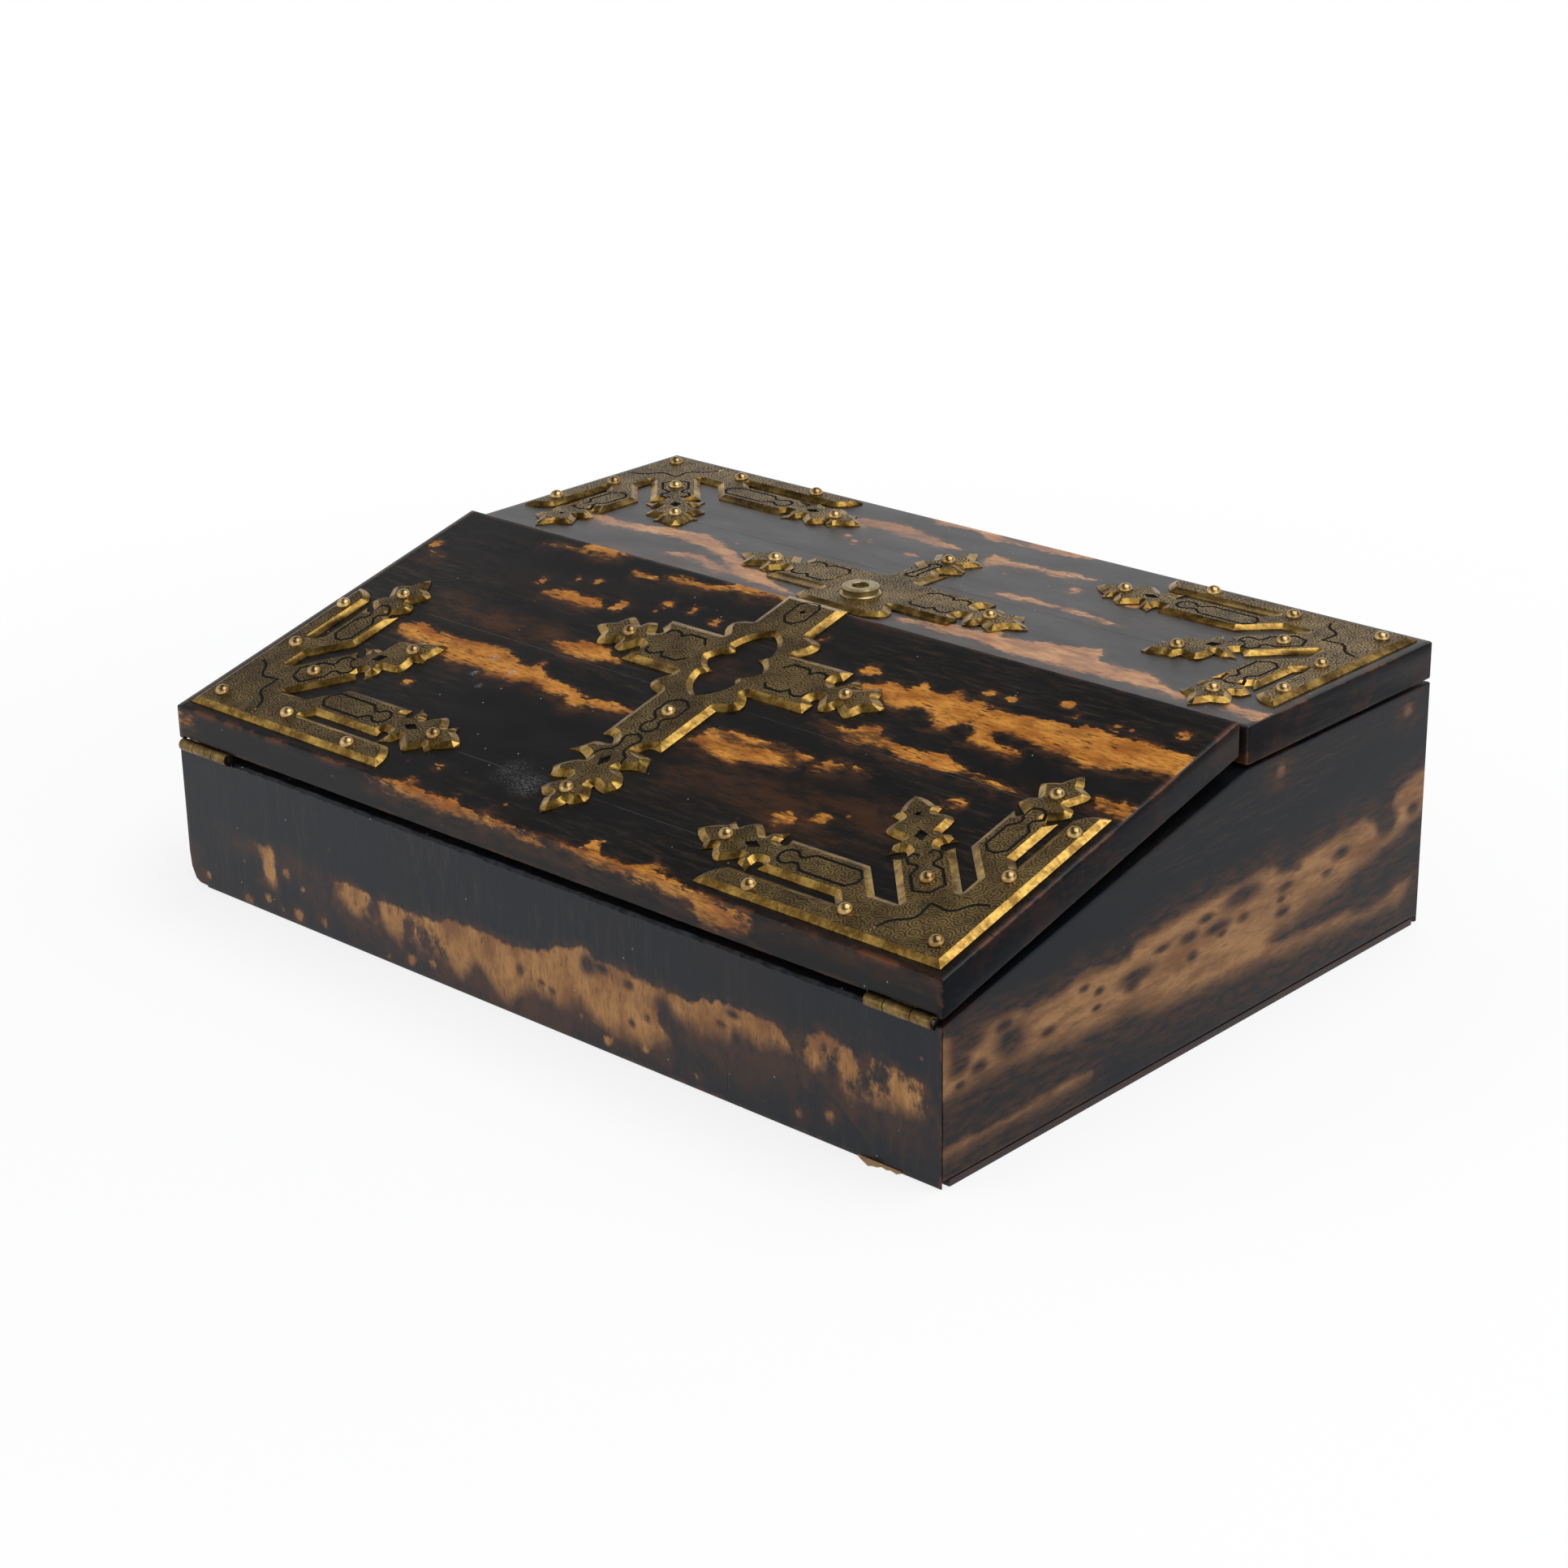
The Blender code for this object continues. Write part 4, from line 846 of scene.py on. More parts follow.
# %% Patches on the flap and the lid
flap_patches = [
    ([(222, 113), (231, 118.5), (240, 117), (243, 123.5), (247, 121), (252, 120), (257, 123.5),
      (262, 120.5), (267, 123), (272, 120), (276, 122), (284, 120), (290, 122.5), (297, 123),
      (303, 122), (307, 125.5), (316, 124), (325, 126), (335, 125.5), (343, 124), (352, 123.5),
      (352, 115), (344, 113.5), (336, 111.5), (330, 110), (325, 108.5), (320, 106.5), (315, 108.5),
      (310, 110.5), (303, 110), (299, 110), (296, 111.5), (284, 111), (282, 107), (288, 104.5),
      (297, 105.5), (299, 102.5), (296, 100.5), (286, 101.5), (277, 102), (275, 106), (272, 110),
      (268, 109), (267, 106), (265, 103.5), (261, 104.5), (260, 107.5), (257, 110), (250, 110),
      (245, 108.5), (238, 109), (233, 111), (226, 111.5)], 0.0),
    ([(222, 92), (226, 91), (238, 90.5), (241, 94), (246, 96), (249, 93), (256, 91), (270, 90),
      (275, 94), (280, 90.5), (290, 89), (300, 88), (308, 86.5), (315, 86), (310, 84.5), (300, 85.5),
      (292, 87), (283, 85.5), (270, 85.5), (262, 85.5), (256, 88), (250, 87.5), (245, 85.5), (240, 86),
      (233, 88)], 0.25),
    ([(334, 94), (340, 93.5), (352, 94.5), (352, 88.5), (342, 90), (336, 91)], 0.2),
    ([(191, 71), (197, 73), (210, 73.5), (226, 74), (236, 73.5), (238, 71), (233, 69), (236, 66),
      (230, 65), (222, 63.5), (214, 60.5), (206, 60.5), (198, 62.5), (191, 64), (194, 68)], 0.3),
    ([(240, 69), (243, 74), (248, 75), (261, 74), (252, 72.5), (248, 69), (244, 68)], 0.35),
    ([(293, 74), (298, 75), (299, 71.5), (295, 69.5), (291, 71)], 0.5),
    ([(192, 60), (212, 58), (240, 62), (262, 66), (284, 64), (292, 54), (290, 42), (270, 38), (246, 38),
      (222, 44), (200, 40), (194, 50)], 0.78),
    ([(247, 44), (251, 46), (256, 43), (254, 40), (249, 41)], 0.5),
    ([(258, 48), (262, 52), (266, 50), (265, 45), (261, 44)], 0.5),
    ([(273, 45), (279, 49), (284, 47), (282, 44), (276, 43)], 0.6),
    ([(100, 0), (114, 0.5), (119, 5), (123, 3), (130, 0.5), (139, 1), (142, 4), (146, 1), (153, 1),
      (157, 6), (161, 1), (180, 0), (200, 0.5), (203, 6), (207, 6.5), (211, 1), (224, 1), (229, 6),
      (234, 5), (238, 1), (262, 0), (275, -1), (276, -6), (270, -9), (262, -10), (252, -8), (246, -5),
      (235, -3.5), (215, -3), (190, -3.5), (165, -3), (140, -4), (120, -3), (104, -2)], 0.5),
    ([(278, 1), (300, 1), (320, 1), (352, 1), (352, -3), (325, -4), (300, -3.5), (280, -4)], 0.65),
    ([(-2, -1), (9, -2), (10, -6), (4, -8), (-2, -7)], 0.4),
    ([(38, 76), (44, 78), (55, 77.5), (64, 76), (72, 78), (80, 78), (90, 78.5), (96, 76.5), (101, 74),
      (106, 74), (108, 78), (110, 75), (113, 72.5), (116, 70), (124, 70), (130, 69), (138, 67.5),
      (147, 67.5), (162, 69), (162, 66), (150, 65), (142, 63.5), (136, 61.5), (131, 65.5), (124, 64),
      (119, 66), (112, 67.5), (106, 64.5), (100, 66), (94, 64.5), (88, 66.5), (80, 65), (74, 64.5),
      (68, 67), (60, 68), (50, 69), (40, 70)], 0.05),
    ([(38, 98), (60, 99), (75, 97), (95, 98), (107, 92), (118, 95), (130, 91), (134, 90), (128, 88),
      (115, 86), (100, 87), (85, 85.5), (60, 86), (42, 86), (38, 92)], 0.6),
    ([(100, 89.5), (108, 92.5), (112, 94), (120, 95.5), (124, 94), (128, 91), (134, 89.5), (122, 86.5),
      (110, 87)], 0.2),
    ([(73, 114), (76, 117), (82, 118), (88, 116), (92, 117.5), (97, 119), (100, 115), (97, 113.5),
      (90, 112.5), (80, 112.5)], 0.1),
    ([(46, 140), (55, 142), (62, 143.5), (68, 147.5), (76, 147), (86, 144), (80, 141), (70, 140.5),
      (62, 141.5), (54, 140.5)], 0.45),
    ([(96, 138.5), (106, 138), (112, 141), (122, 141), (132, 143), (138, 146), (146, 147.5), (163, 149),
      (163, 146), (155, 144.5), (146, 142), (136, 141.5), (128, 139.5), (115, 139.5), (105, 137),
      (98, 137)], 0.2),
    ([(193, 149), (200, 145), (215, 144.5), (225, 146), (228, 149)], 0.6),
    ([(6, 118.5), (18, 117.5), (20, 115.5), (10, 116)], 0.5),
    ([(164, 96), (168, 108), (178, 110), (186, 103), (184, 96), (172, 92)], 0.82),
]
flap_dots = [
    (66, 119.5, 2), (78, 125.5, 1.8), (87, 127.5, 1.7), (107, 119, 2), (123, 126, 1.8),
    (135, 126.5, 1.4), (148, 123.5, 1.2), (6, 122.5, 2), (220, 122, 2.4), (192, 131, 1.3),
    (266, 128, 1.2), (275, 127.5, 1.2), (316, 128.5, 1.5), (338.5, 133, 1.5), (301, 127.5, 1),
    (294, 133, 1), (71, 48, 1.8), (122, 14, 1.1)
]
lid_patches = [
    ([(112, 88), (118, 90), (125, 91), (132, 91.5), (140, 90), (150, 86), (160, 83.5), (165, 82),
      (160, 80), (150, 80.5), (140, 81), (130, 82.5), (122, 80), (118, 76), (114, 73), (110, 75),
      (114, 80), (112, 84)], 0.1),
    ([(179, 85), (186, 84.5), (196, 84), (205, 83.5), (215, 85), (224, 85.5), (226, 83), (220, 80.5),
      (210, 80), (200, 79.5), (195, 77), (190, 75), (186, 72), (183, 73), (181, 78)], 0.1),
    ([(206, 50.5), (212, 53.5), (222, 54.5), (240, 55), (252, 53.5), (262, 51), (255, 50), (240, 51.5),
      (225, 51.5), (212, 50)], 0.15),
    ([(30, 26), (36, 29), (48, 28), (58, 29), (64, 33), (70, 34), (76, 35), (84, 37), (88, 33),
      (96, 31), (106, 27.5), (114, 23), (120, 18), (128, 17), (135, 14), (142, 10), (150, 8), (157, 6),
      (148, 4), (138, 5), (125, 8), (118, 11), (112, 15), (106, 20), (98, 23), (88, 26), (76, 27),
      (64, 25), (54, 22), (44, 21), (34, 23)], 0.1),
    ([(86, 12), (92, 16), (98, 18), (106, 14), (114, 11), (122, 8), (118, 5), (108, 8), (98, 11),
      (90, 10)], 0.2),
    ([(198, 9), (205, 11), (212, 14), (218, 16.5), (226, 15), (231, 17), (234, 20), (238, 17),
      (243, 19), (250, 20), (255, 23), (262, 25), (268, 26), (271, 28), (275, 24), (276, 20), (282, 18),
      (290, 19), (298, 19), (305, 15), (312, 12), (324, 10), (318, 7), (305, 8), (292, 8), (280, 7),
      (265, 6.5), (250, 7), (240, 8), (225, 8), (212, 8.5), (203, 8)], 0.05),
    ([(130, 107), (140, 100), (155, 103), (170, 97), (178, 101), (190, 99), (205, 101),
      (215, 107)], 0.45),
    ([(60, 6), (90, 5), (120, 3.5), (150, 3), (150, -1), (60, -1)], 0.6),
    ([(330, 16), (340, 12), (352, 14), (352, 6), (336, 7)], 0.4),
]
lid_dots = [
    (123.5, 67.5, 1.7), (134.5, 68, 1.7), (130, 63.5, 1.7), (226, 71, 2.4), (252, 71.5, 2.6),
    (156, 66, 1.6)
]
print("patches:", len(flap_patches), "on the flap,", len(lid_patches), "on the lid")

# %% [markdown]
# The slices of the flap and the lid are simple four-sided outlines. Their rounded edges are less than a
# millimetre, as on old veneered work, but they catch the light. The faces that show have closely set
# points, the hidden ones only a few. The flap has a mortise for the bolt, the lid a pocket for the lock.

# %% Flap and lid
top_rounding, top_pitch = 0.8 * MM, 2 * MM
fine_pitch, middle_pitch, coarse_pitch = 1.6 * MM, 4 * MM, 12 * MM
mortise_half, mortise_deep, mortise_low, mortise_high = 6.9 * MM, 5.5 * MM, 94.3 * MM, 98.7 * MM
veneer_depth, end_margin = 11.5 * MM, 0.4 * MM


def top_board(name, corners, pitches, material, inner_material):
    """A board along X from a slice, with its ends rounded."""
    outline, outward = slice_outline(corners, top_rounding, pitches)
    rings = []
    for x in even_steps(-half_width, half_width, top_pitch, top_rounding):
        drawn = outline - outward * inset_at(x, -half_width, half_width, top_rounding)
        rings.append([(x, y, z) for y, z in drawn])
    return loaf(name, rings, material, inner_material, end_wood)


def board_edges(corners):
    """The long edges of a board and those round its two ends."""
    rings = [[(x, y, z) for y, z in corners] for x in (-half_width, half_width)]
    edges = list(zip(*rings))
    for ring in rings:
        edges += list(zip(ring, ring[1:] + ring[:1]))
    return edges


def on_top(points):
    return np.abs(points[:, 0]) < half_width - end_margin


def above_flap(points):
    rise = (points[:, 1] - front) * math.tan(slope)
    return on_top(points) & (points[:, 2] > flap_front_top - veneer_depth + rise)


mortise = cuboid((-mortise_half, flap_rear - mortise_deep, mortise_low),
                 (mortise_half, flap_rear + MM, mortise_high))
case_low, case_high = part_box("lock_cover")[0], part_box("lock_case")[1]
pocket = cuboid((case_low[0] - fit, lid_front - MM, lid_bottom - MM),
                (case_high[0] + fit, case_high[1] + fit, case_high[2] + fit))
flap_cuts = [mortise, worn_edge(-gap_end, gap_end, flap_front_bottom, 2.0 * MM, 1.5 * MM, ragged=0.06)]
lid_cuts = [pocket]
for side in ("left", "right"):
    flap_cuts += seats(f"front_hinge_{side}", flap_under, False)
    lid_cuts += seats(f"rear_hinge_{side}", lid_under, False)

flap_corners = [(front, flap_front_bottom), (flap_rear, flap_rear_bottom), (flap_rear, flap_rear_top),
                (front, flap_front_top)]
flap_pitches = [coarse_pitch, middle_pitch, fine_pitch, fine_pitch]
flap_mesh = top_board("flap_board_veneered", flap_corners, flap_pitches, flap_wood, flap_wood)
flap_mesh = veneer(flap_mesh, flap_cuts, face_of_flap, above_flap, (flap_patches, flap_dots, []),
                   board_edges(flap_corners), None)
piece("flap_board_veneered", flap_mesh, "flap", "striped_wood", "flap_board")

lid_corners = [(lid_front, lid_bottom), (back, lid_bottom), (back, lid_top), (lid_front, lid_top)]
lid_pitches = [coarse_pitch, middle_pitch, fine_pitch, middle_pitch]
lid_mesh = top_board("lid_board_veneered", lid_corners, lid_pitches, lid_wood, fitting_wood)
lid_mesh = veneer(lid_mesh, lid_cuts, face_of_lid, on_top, (lid_patches, lid_dots, []),
                  board_edges(lid_corners), Vector((0, 0, -1)))
piece("lid_board_veneered", lid_mesh, "lid", "striped_wood", "lid_board")

# %% [markdown]
# The patches of the front and right walls follow the photograph too, and the other two walls use them
# again. Each cloud is a dark oval in a patch: a place, half a width and half a height.

# %% Patches on the walls
front_patches = [
    ([(17, 27), (25, 25.5), (40, 26), (47, 24.5), (55, 27), (70, 26), (76, 24), (82, 23.5), (82, 18),
      (75, 15.5), (70, 18), (62, 18), (55, 20), (48, 21), (36, 19.5), (28, 18.5), (18, 19)], 0.72),
    ([(38, 26), (44, 25.5), (48, 24), (49, 12), (46, 11), (43, 13), (42, 20)], 0.48),
    ([(80, 22), (90, 23), (98, 22), (103, 22), (103, 15), (98, 12.5), (92, 13), (87, 16),
      (81, 18)], 0.4),
    ([(100, 22), (114, 23), (130, 23), (138, 22), (140, 12), (132, 9), (127, 11), (122, 9), (118, 12),
      (113, 8), (108, 11), (103, 15)], 0.45),
    ([(130, 22), (138, 24), (143, 25.5), (150, 25.5), (158, 25), (165, 24), (172, 24), (180, 26),
      (187, 28), (191, 31), (196, 31), (200, 33), (205, 33.5), (206, 31), (216, 31), (224, 31),
      (232, 30.5), (240, 30), (247, 30.5), (254, 32), (262, 33), (270, 33.5), (280, 33), (286, 32.5),
      (289, 30), (291, 26.5), (290, 25), (283, 25.5), (276, 24), (268, 25), (266, 22), (260, 21),
      (254, 20), (247, 20), (243, 22), (240, 24), (238, 26), (236, 24), (236, 19), (240, 14), (236, 11),
      (230, 8), (224, 8.5), (218, 9), (212, 8), (206, 11), (200, 13), (196, 11), (190, 8), (186, 12),
      (182, 11), (178, 12), (172, 9), (166, 3.5), (160, 6), (155, 11), (150, 14), (147, 9), (143, 6),
      (138, 10)], 0.0),
    ([(293, 31), (297, 33), (300, 35), (304, 35.5), (310, 34), (315, 36), (319, 34), (325, 35),
      (330, 34), (336, 33), (342, 33.5), (346, 29), (347, 25), (342, 22), (336, 21), (326, 20),
      (315, 18), (312, 20), (309, 24), (304, 26), (300, 22), (297, 26), (294, 28)], 0.5),
    ([(-2, 17), (4, 16), (7, 13), (5, 8), (8, 4), (9, -2), (-2, -2)], 0.6),
    ([(92, 20), (130, 22), (180, 22), (236, 24), (246, 14), (238, 4), (210, 1), (170, -1), (120, 1),
      (98, 7)], 0.6),
    ([(60, 21), (92, 21), (98, 7), (120, 1), (90, 2), (64, 10)], 0.8),
    ([(238, 22), (290, 24), (345, 24), (346, 12), (300, 8), (245, 4)], 0.85),
]
front_dots = [
    (33, 2.2, 1.6), (10.5, 5, 1.2), (44, 5.5, 1.3), (51, 3.5, 1.2), (60, 4, 1.8), (73, 4.8, 1.6),
    (54, 18, 1.2), (63, 14.5, 1), (106.5, 2.8, 1.2), (118, 12, 1), (119, 5, 2), (129, 6.8, 0.9),
    (200, 9.5, 1.2), (212, 4.5, 1.4), (229, 7, 1.2), (250.5, 5, 1.2), (294, 6.5, 1.2), (306, 9.5, 1.9)
]
front_clouds = [
    (204, 28.5, 3.3, 3.3), (210, 29, 3, 1.4), (236.5, 24, 3.3, 3.3), (239, 18, 1.6, 3),
    (222, 27, 2, 1.2), (267, 31, 2.5, 1.2), (262, 26, 2, 0.9), (230, 18, 1.2, 1.2), (182, 15.5, 1.5, 1),
    (187, 14, 1.2, 1.2), (223, 14, 1.2, 1.2), (172, 17, 1.4, 2)
]
side_patches = [
    ([(-2, 50), (4, 47), (5, 38), (10, 46.5), (17, 47), (25, 46), (34, 45), (40, 43.5), (48, 44.5),
      (56, 44.5), (62, 46), (70, 46), (76, 45), (82, 43.5), (88, 44), (91, 47), (100, 48), (105, 49.5),
      (115, 49.7), (125, 49.8), (135, 49.5), (142, 49.7), (150, 49), (158, 49.8), (164, 49.5),
      (168, 46), (175, 45), (182, 47), (190, 48), (200, 49), (210, 49), (215, 50), (218, 49), (222, 46),
      (225, 43), (228, 40.5), (233, 40), (236, 44), (233, 49), (234, 53), (240, 55), (246, 56),
      (254, 56.5), (254, 42), (245, 40), (238, 37.5), (230, 36), (222, 34), (212, 31.5), (205, 30),
      (200, 28), (190, 27), (178, 25.5), (168, 25), (163, 23), (168, 21.5), (175, 21), (182, 20),
      (192, 20), (200, 19), (208, 18.5), (214, 16), (222, 15.5), (230, 16), (238, 17.5), (246, 18),
      (243, 13), (239, 11), (232, 13), (224, 12.5), (215, 13.5), (205, 14), (190, 14.5), (178, 14.5),
      (170, 15.5), (160, 17), (150, 17.5), (142, 17.5), (130, 19), (118, 20), (105, 21), (98, 23),
      (92, 25), (85, 26), (72, 25.7), (60, 26.5), (52, 27.5), (45, 29), (35, 30), (20, 29.5), (8, 28.5),
      (-2, 28)], 0.08),
    ([(-2, 9.5), (-2, 12), (5, 13), (10, 13), (15, 11.5), (22, 12), (35, 12.3), (48, 13), (56, 13),
      (63, 12.5), (70, 11.5), (60, 10.8), (48, 10.5), (35, 10), (20, 10), (8, 9.5)], 0.1),
]
side_dots = [(166, 81.5, 1.5), (239, 81.5, 1.2)]
side_clouds = [
    (8, 38, 5, 3.5), (16.5, 34, 4, 2.2), (8, 31.3, 2, 0.9), (12, 44, 8, 4), (31, 37, 8, 5),
    (28, 43, 4, 2), (49, 33.5, 3.5, 1.2), (66, 41.5, 2.5, 0.9), (73.5, 38, 2.2, 1),
    (72.5, 32.7, 2.2, 0.8), (90, 34, 4, 2), (92, 36.5, 9, 2.2), (105, 41, 4.5, 0.9), (119, 40, 5, 1.6),
    (121, 33, 2.6, 1.4), (128, 43.5, 4, 1.2), (134, 38.2, 7, 1.6), (136.5, 35.3, 2.2, 0.9),
    (148, 37, 3, 1.3), (147, 45, 10, 3), (169, 36.3, 2.2, 1), (170, 31.5, 4, 1.4),
    (178, 44.3, 2.5, 0.6), (171, 40, 5, 1), (203, 41.5, 5, 1.8), (195, 37, 3, 0.8), (229, 43, 5, 4),
    (245.5, 44, 3.5, 2)
]
print("patches:", len(front_patches), "on the front wall,", len(side_patches), "on a side wall")

# %% [markdown]
# The walls are mitred at the corners. The front and back walls run down to the table, and the side walls
# stop just above it, where the edge of the base board shows as a thin dark line. The base board's colour is
# dark wood, and painted shade of the gap under the walls. The slices of a wall follow the mitre: its outer
# face is longer than its inner face.

# %% Shapes of the walls
wall_thick, wall_bottom, lip = 10 * MM, 2.7 * MM, 3 * MM
wall_rounding, wall_end_rounding, mitre_gap = 0.5 * MM, 0.4 * MM, 0.05 * MM
wall_pitch, face_pitch, under_pitch, inner_pitch = 1.7 * MM, 1.5 * MM, 4 * MM, 8 * MM


def long_wall(name, side, material):
    """The front or back wall, along X. Depth counts inwards from its face."""
    face = side * back
    corners = [(0, 0), (lip, 0), (lip, wall_bottom), (wall_thick, wall_bottom),
               (wall_thick, wall_top(face - side * wall_thick)), (0, wall_top(face))]
    pitches = [under_pitch] * 2 + [inner_pitch] * 3 + [face_pitch]
    outline, outward = slice_outline(corners, wall_rounding, pitches)
    rings = []
    for x in even_steps(-half_width, half_width, wall_pitch, wall_end_rounding):
        drawn = outline - outward * inset_at(x, -half_width, half_width, wall_end_rounding)
        ring = []
        for depth, z in drawn:
            mitred = x * (half_width - max(depth, 0)) / half_width
            ring.append((mitred, face - side * depth, z))
        rings.append(ring)
    return loaf(name, rings, material, fitting_wood)


def side_wall(name, side):
    """A side wall, along Y, whose top slopes down to the front."""
    tall = rear_height - wall_bottom
    corners = [(0, 0), (wall_thick, 0), (wall_thick, tall), (0, tall)]
    outline, outward = slice_outline(corners, wall_rounding, [inner_pitch] * 3 + [face_pitch])
    rings = []
    for y in even_steps(front, back, wall_pitch, wall_end_rounding):
        drawn = outline - outward * inset_at(y, front, back, wall_end_rounding)
        ring = []
        for depth, z in drawn:
            reach = (back - depth - mitre_gap) / back
            share = (wall_top(y * reach) - wall_bottom) / tall
            ring.append((side * (half_width - depth), y * reach, wall_bottom + z * share))
        rings.append(ring)
    return loaf(name, rings, side_wood, upright_wood)


print("walls are", wall_thick / MM, "mm thick")

# %% [markdown]
# The seats of the hinges and the bruised edges are cut out of the walls. The left front foot is worn round
# and has lost a flake, and along the right half of the front the lower edge is rubbed.

# %% Walls
foot_low, foot_high = 45 * MM, 166 * MM


def wall_edges(side):
    """The upright corners of the walls, which are rubbed."""
    x = side * half_width
    return [((x, y, 0), (x, y, wall_top(y))) for y in (front, back)]


def lost_corner():
    """The cutter for the left front foot."""
    outline = [(-1, -1), (9.4, -1), (9.2, 0.8), (5.2, 1.0), (2.9, 2.2), (1.0, 6.3), (0.4, 12), (-1, 13)]
    return block(*[[(-half_width + x * MM, y, z * MM) for x, z in outline]
                   for y in (front - MM, front + 2 * wall_thick)])


front_cuts = [worn_edge(-gap_end, gap_end, front_height, -2.0 * MM, 1.5 * MM, ragged=0.36),
              worn_edge(foot_low, foot_high, 0, 0.9 * MM, 0.5 * MM, ragged=0.6), lost_corner()]
corner_cuts = {"left": [lost_corner()], "right": []}
for side in ("left", "right"):
    front_cuts += seats(f"front_hinge_{side}", wall_top, True)
    corner_cuts[side] += seats(f"front_hinge_{side}", wall_top, True)
back_cuts = seats("rear_hinge_left", wall_top, True) + seats("rear_hinge_right", wall_top, True)
rubbed_foot = ((foot_low, front, 0), (foot_high, front, 0))
edges = wall_edges(-1) + wall_edges(1) + [rubbed_foot]


def everywhere(points):
    return np.ones(len(points), dtype=bool)


def below_top(points):
    return points[:, 2] < front_height - 1.5 * MM


front_marks = (front_patches, front_dots, front_clouds)
side_marks = (side_patches, side_dots, side_clouds)
front_mesh = long_wall("front_wall_veneered", -1, front_wood)
back_mesh = long_wall("back_wall_veneered", 1, front_wood)
left_mesh, right_mesh = side_wall("left_wall_veneered", -1), side_wall("right_wall_veneered", 1)
for name, mesh, cuts, face, shown, marks, inner in (
        ("front_wall", front_mesh, front_cuts, face_of_front, below_top, front_marks, (0, 1, 0)),
        ("back_wall", back_mesh, back_cuts, face_of_back, everywhere, front_marks, (0, -1, 0)),
        ("left_wall", left_mesh, corner_cuts["left"], face_of_left, everywhere, side_marks, (1, 0, 0)),
        ("right_wall", right_mesh, corner_cuts["right"], face_of_right, everywhere, side_marks,
         (-1, 0, 0))):
    wall = veneer(mesh, cuts, face, shown, marks, edges, Vector(inner))
    piece(name + "_veneered", wall, "carcase", "striped_wood", name)

# %% [markdown]
# Under the right end of the front wall a splinter of the bare wood has torn loose and sticks out a little.
# It is a thin jagged sliver, thickest where it hangs on to the wall.

# %% Torn splinter
torn_browns = colour(0.30, 0.16, 0.06), colour(0.66, 0.45, 0.23)
torn_wood = plain_wood("torn_wood", *torn_browns, stretch=(1, 5, 5), smooth=0.7)
splinter_foot, splinter_thick, splinter_taper = 0.05, 0.75, 0.15
sliver = [
    (141.5, 0.4), (144.0, -0.8), (148.6, -2.7), (149.6, -1.9), (151.2, -1.7), (152.0, -0.6),
    (154.5, -1.1), (155.6, -0.5), (158.4, -1.2), (159.2, 0.4)
]
splinter = block([(x * MM, front + y * MM, splinter_foot * MM) for x, y in sliver],
                 [(x * MM, front + y * MM, (splinter_thick + splinter_taper * y) * MM) for x, y in sliver])
piece("torn_splinter", to_mesh(splinter, "torn_splinter", torn_wood), "carcase", "base_wood")

# %% [markdown]
# Old engraved brass is dull gold with dark lines. The top of each mount is covered with small scrolls. A
# cell pattern gives each scroll a centre, and the angle and distance round that centre make a spiral. The
# bevelled edges are rubbed bright. The deep lines, pits and nail holes are near black: the dark wood at
# their bottom, and painted shade inside them.

# %% Brass finishes
def scroll_lines(tree, where):
    """1 on the engraved lines: a spiral round the middle of each cell, and thin wandering leaves."""
    wander = add(tree, "TexNoise", {"Vector": where, "Scale": 320.0, "Detail": 2.0}).outputs["Color"]
    bent = vectors(tree, "ADD", where, vectors(tree, "MULTIPLY", wander, (1.2 * MM, 1.2 * MM, 0.0))[0])[0]
    cells = add(tree, "TexVoronoi", {"Vector": bent, "Scale": 225.0}, voronoi_dimensions="2D").outputs
    part = add(tree, "SeparateXYZ", {0: vectors(tree, "SUBTRACT", bent, cells["Position"])[0]}).outputs
    flat = add(tree, "CombineXYZ", {0: part["X"], 1: part["Y"]}).outputs[0]
    radius = vectors(tree, "LENGTH", flat)["Value"]
    angle = sums(tree, "ARCTAN2", part["Y"], part["X"])
    pick = add(tree, "SeparateColor", {0: cells["Color"]}).outputs[0]
    hand = scaled(tree, sums(tree, "GREATER_THAN", pick, 0.5), 2.0, -1.0)
    swirl = sums(tree, "SINE", scaled(tree, angle, hand, times(tree, radius, 5600.0)))
    leaf = sums(tree, "ABSOLUTE", minus(tree, cloudy(tree, bent, 620, 1, 0.4), 0.5))
    return sums(tree, "MAXIMUM", eased(tree, swirl, -0.02, -0.55), eased(tree, leaf, 0.036, 0.01))


def engraved_brass():
    made, tree, shader = new_finish("engraved_brass_top")
    where = in_object(tree)
    line = scroll_lines(tree, where)
    age = eased(tree, cloudy(tree, where, 85, 4, 0.6), 0.3, 0.7)
    gold = blended(tree, age, colour(0.18, 0.115, 0.040), colour(0.41, 0.275, 0.100))
    grime = eased(tree, cloudy(tree, where, 60, 4, 0.65), 0.5, 0.72)
    gold = veined(tree, grime, gold, colour(0.055, 0.036, 0.014), 0.6)
    shade = veined(tree, line, gold, colour(0.018, 0.012, 0.006), 0.88)
    green = eased(tree, cloudy(tree, where, 240, 3, 0.7), 0.66, 0.76)
    shade = veined(tree, green, shade, colour(0.09, 0.13, 0.09), 0.3)
    dullness = scaled(tree, line, 0.25, 0.36)
    fill(tree, shader, {"Base Color": shade, "Metallic": 1.0, "Roughness": dullness})
    roughen(tree, shader, minus(tree, 1.0, line), 0.5, 0.12 * MM)
    return made


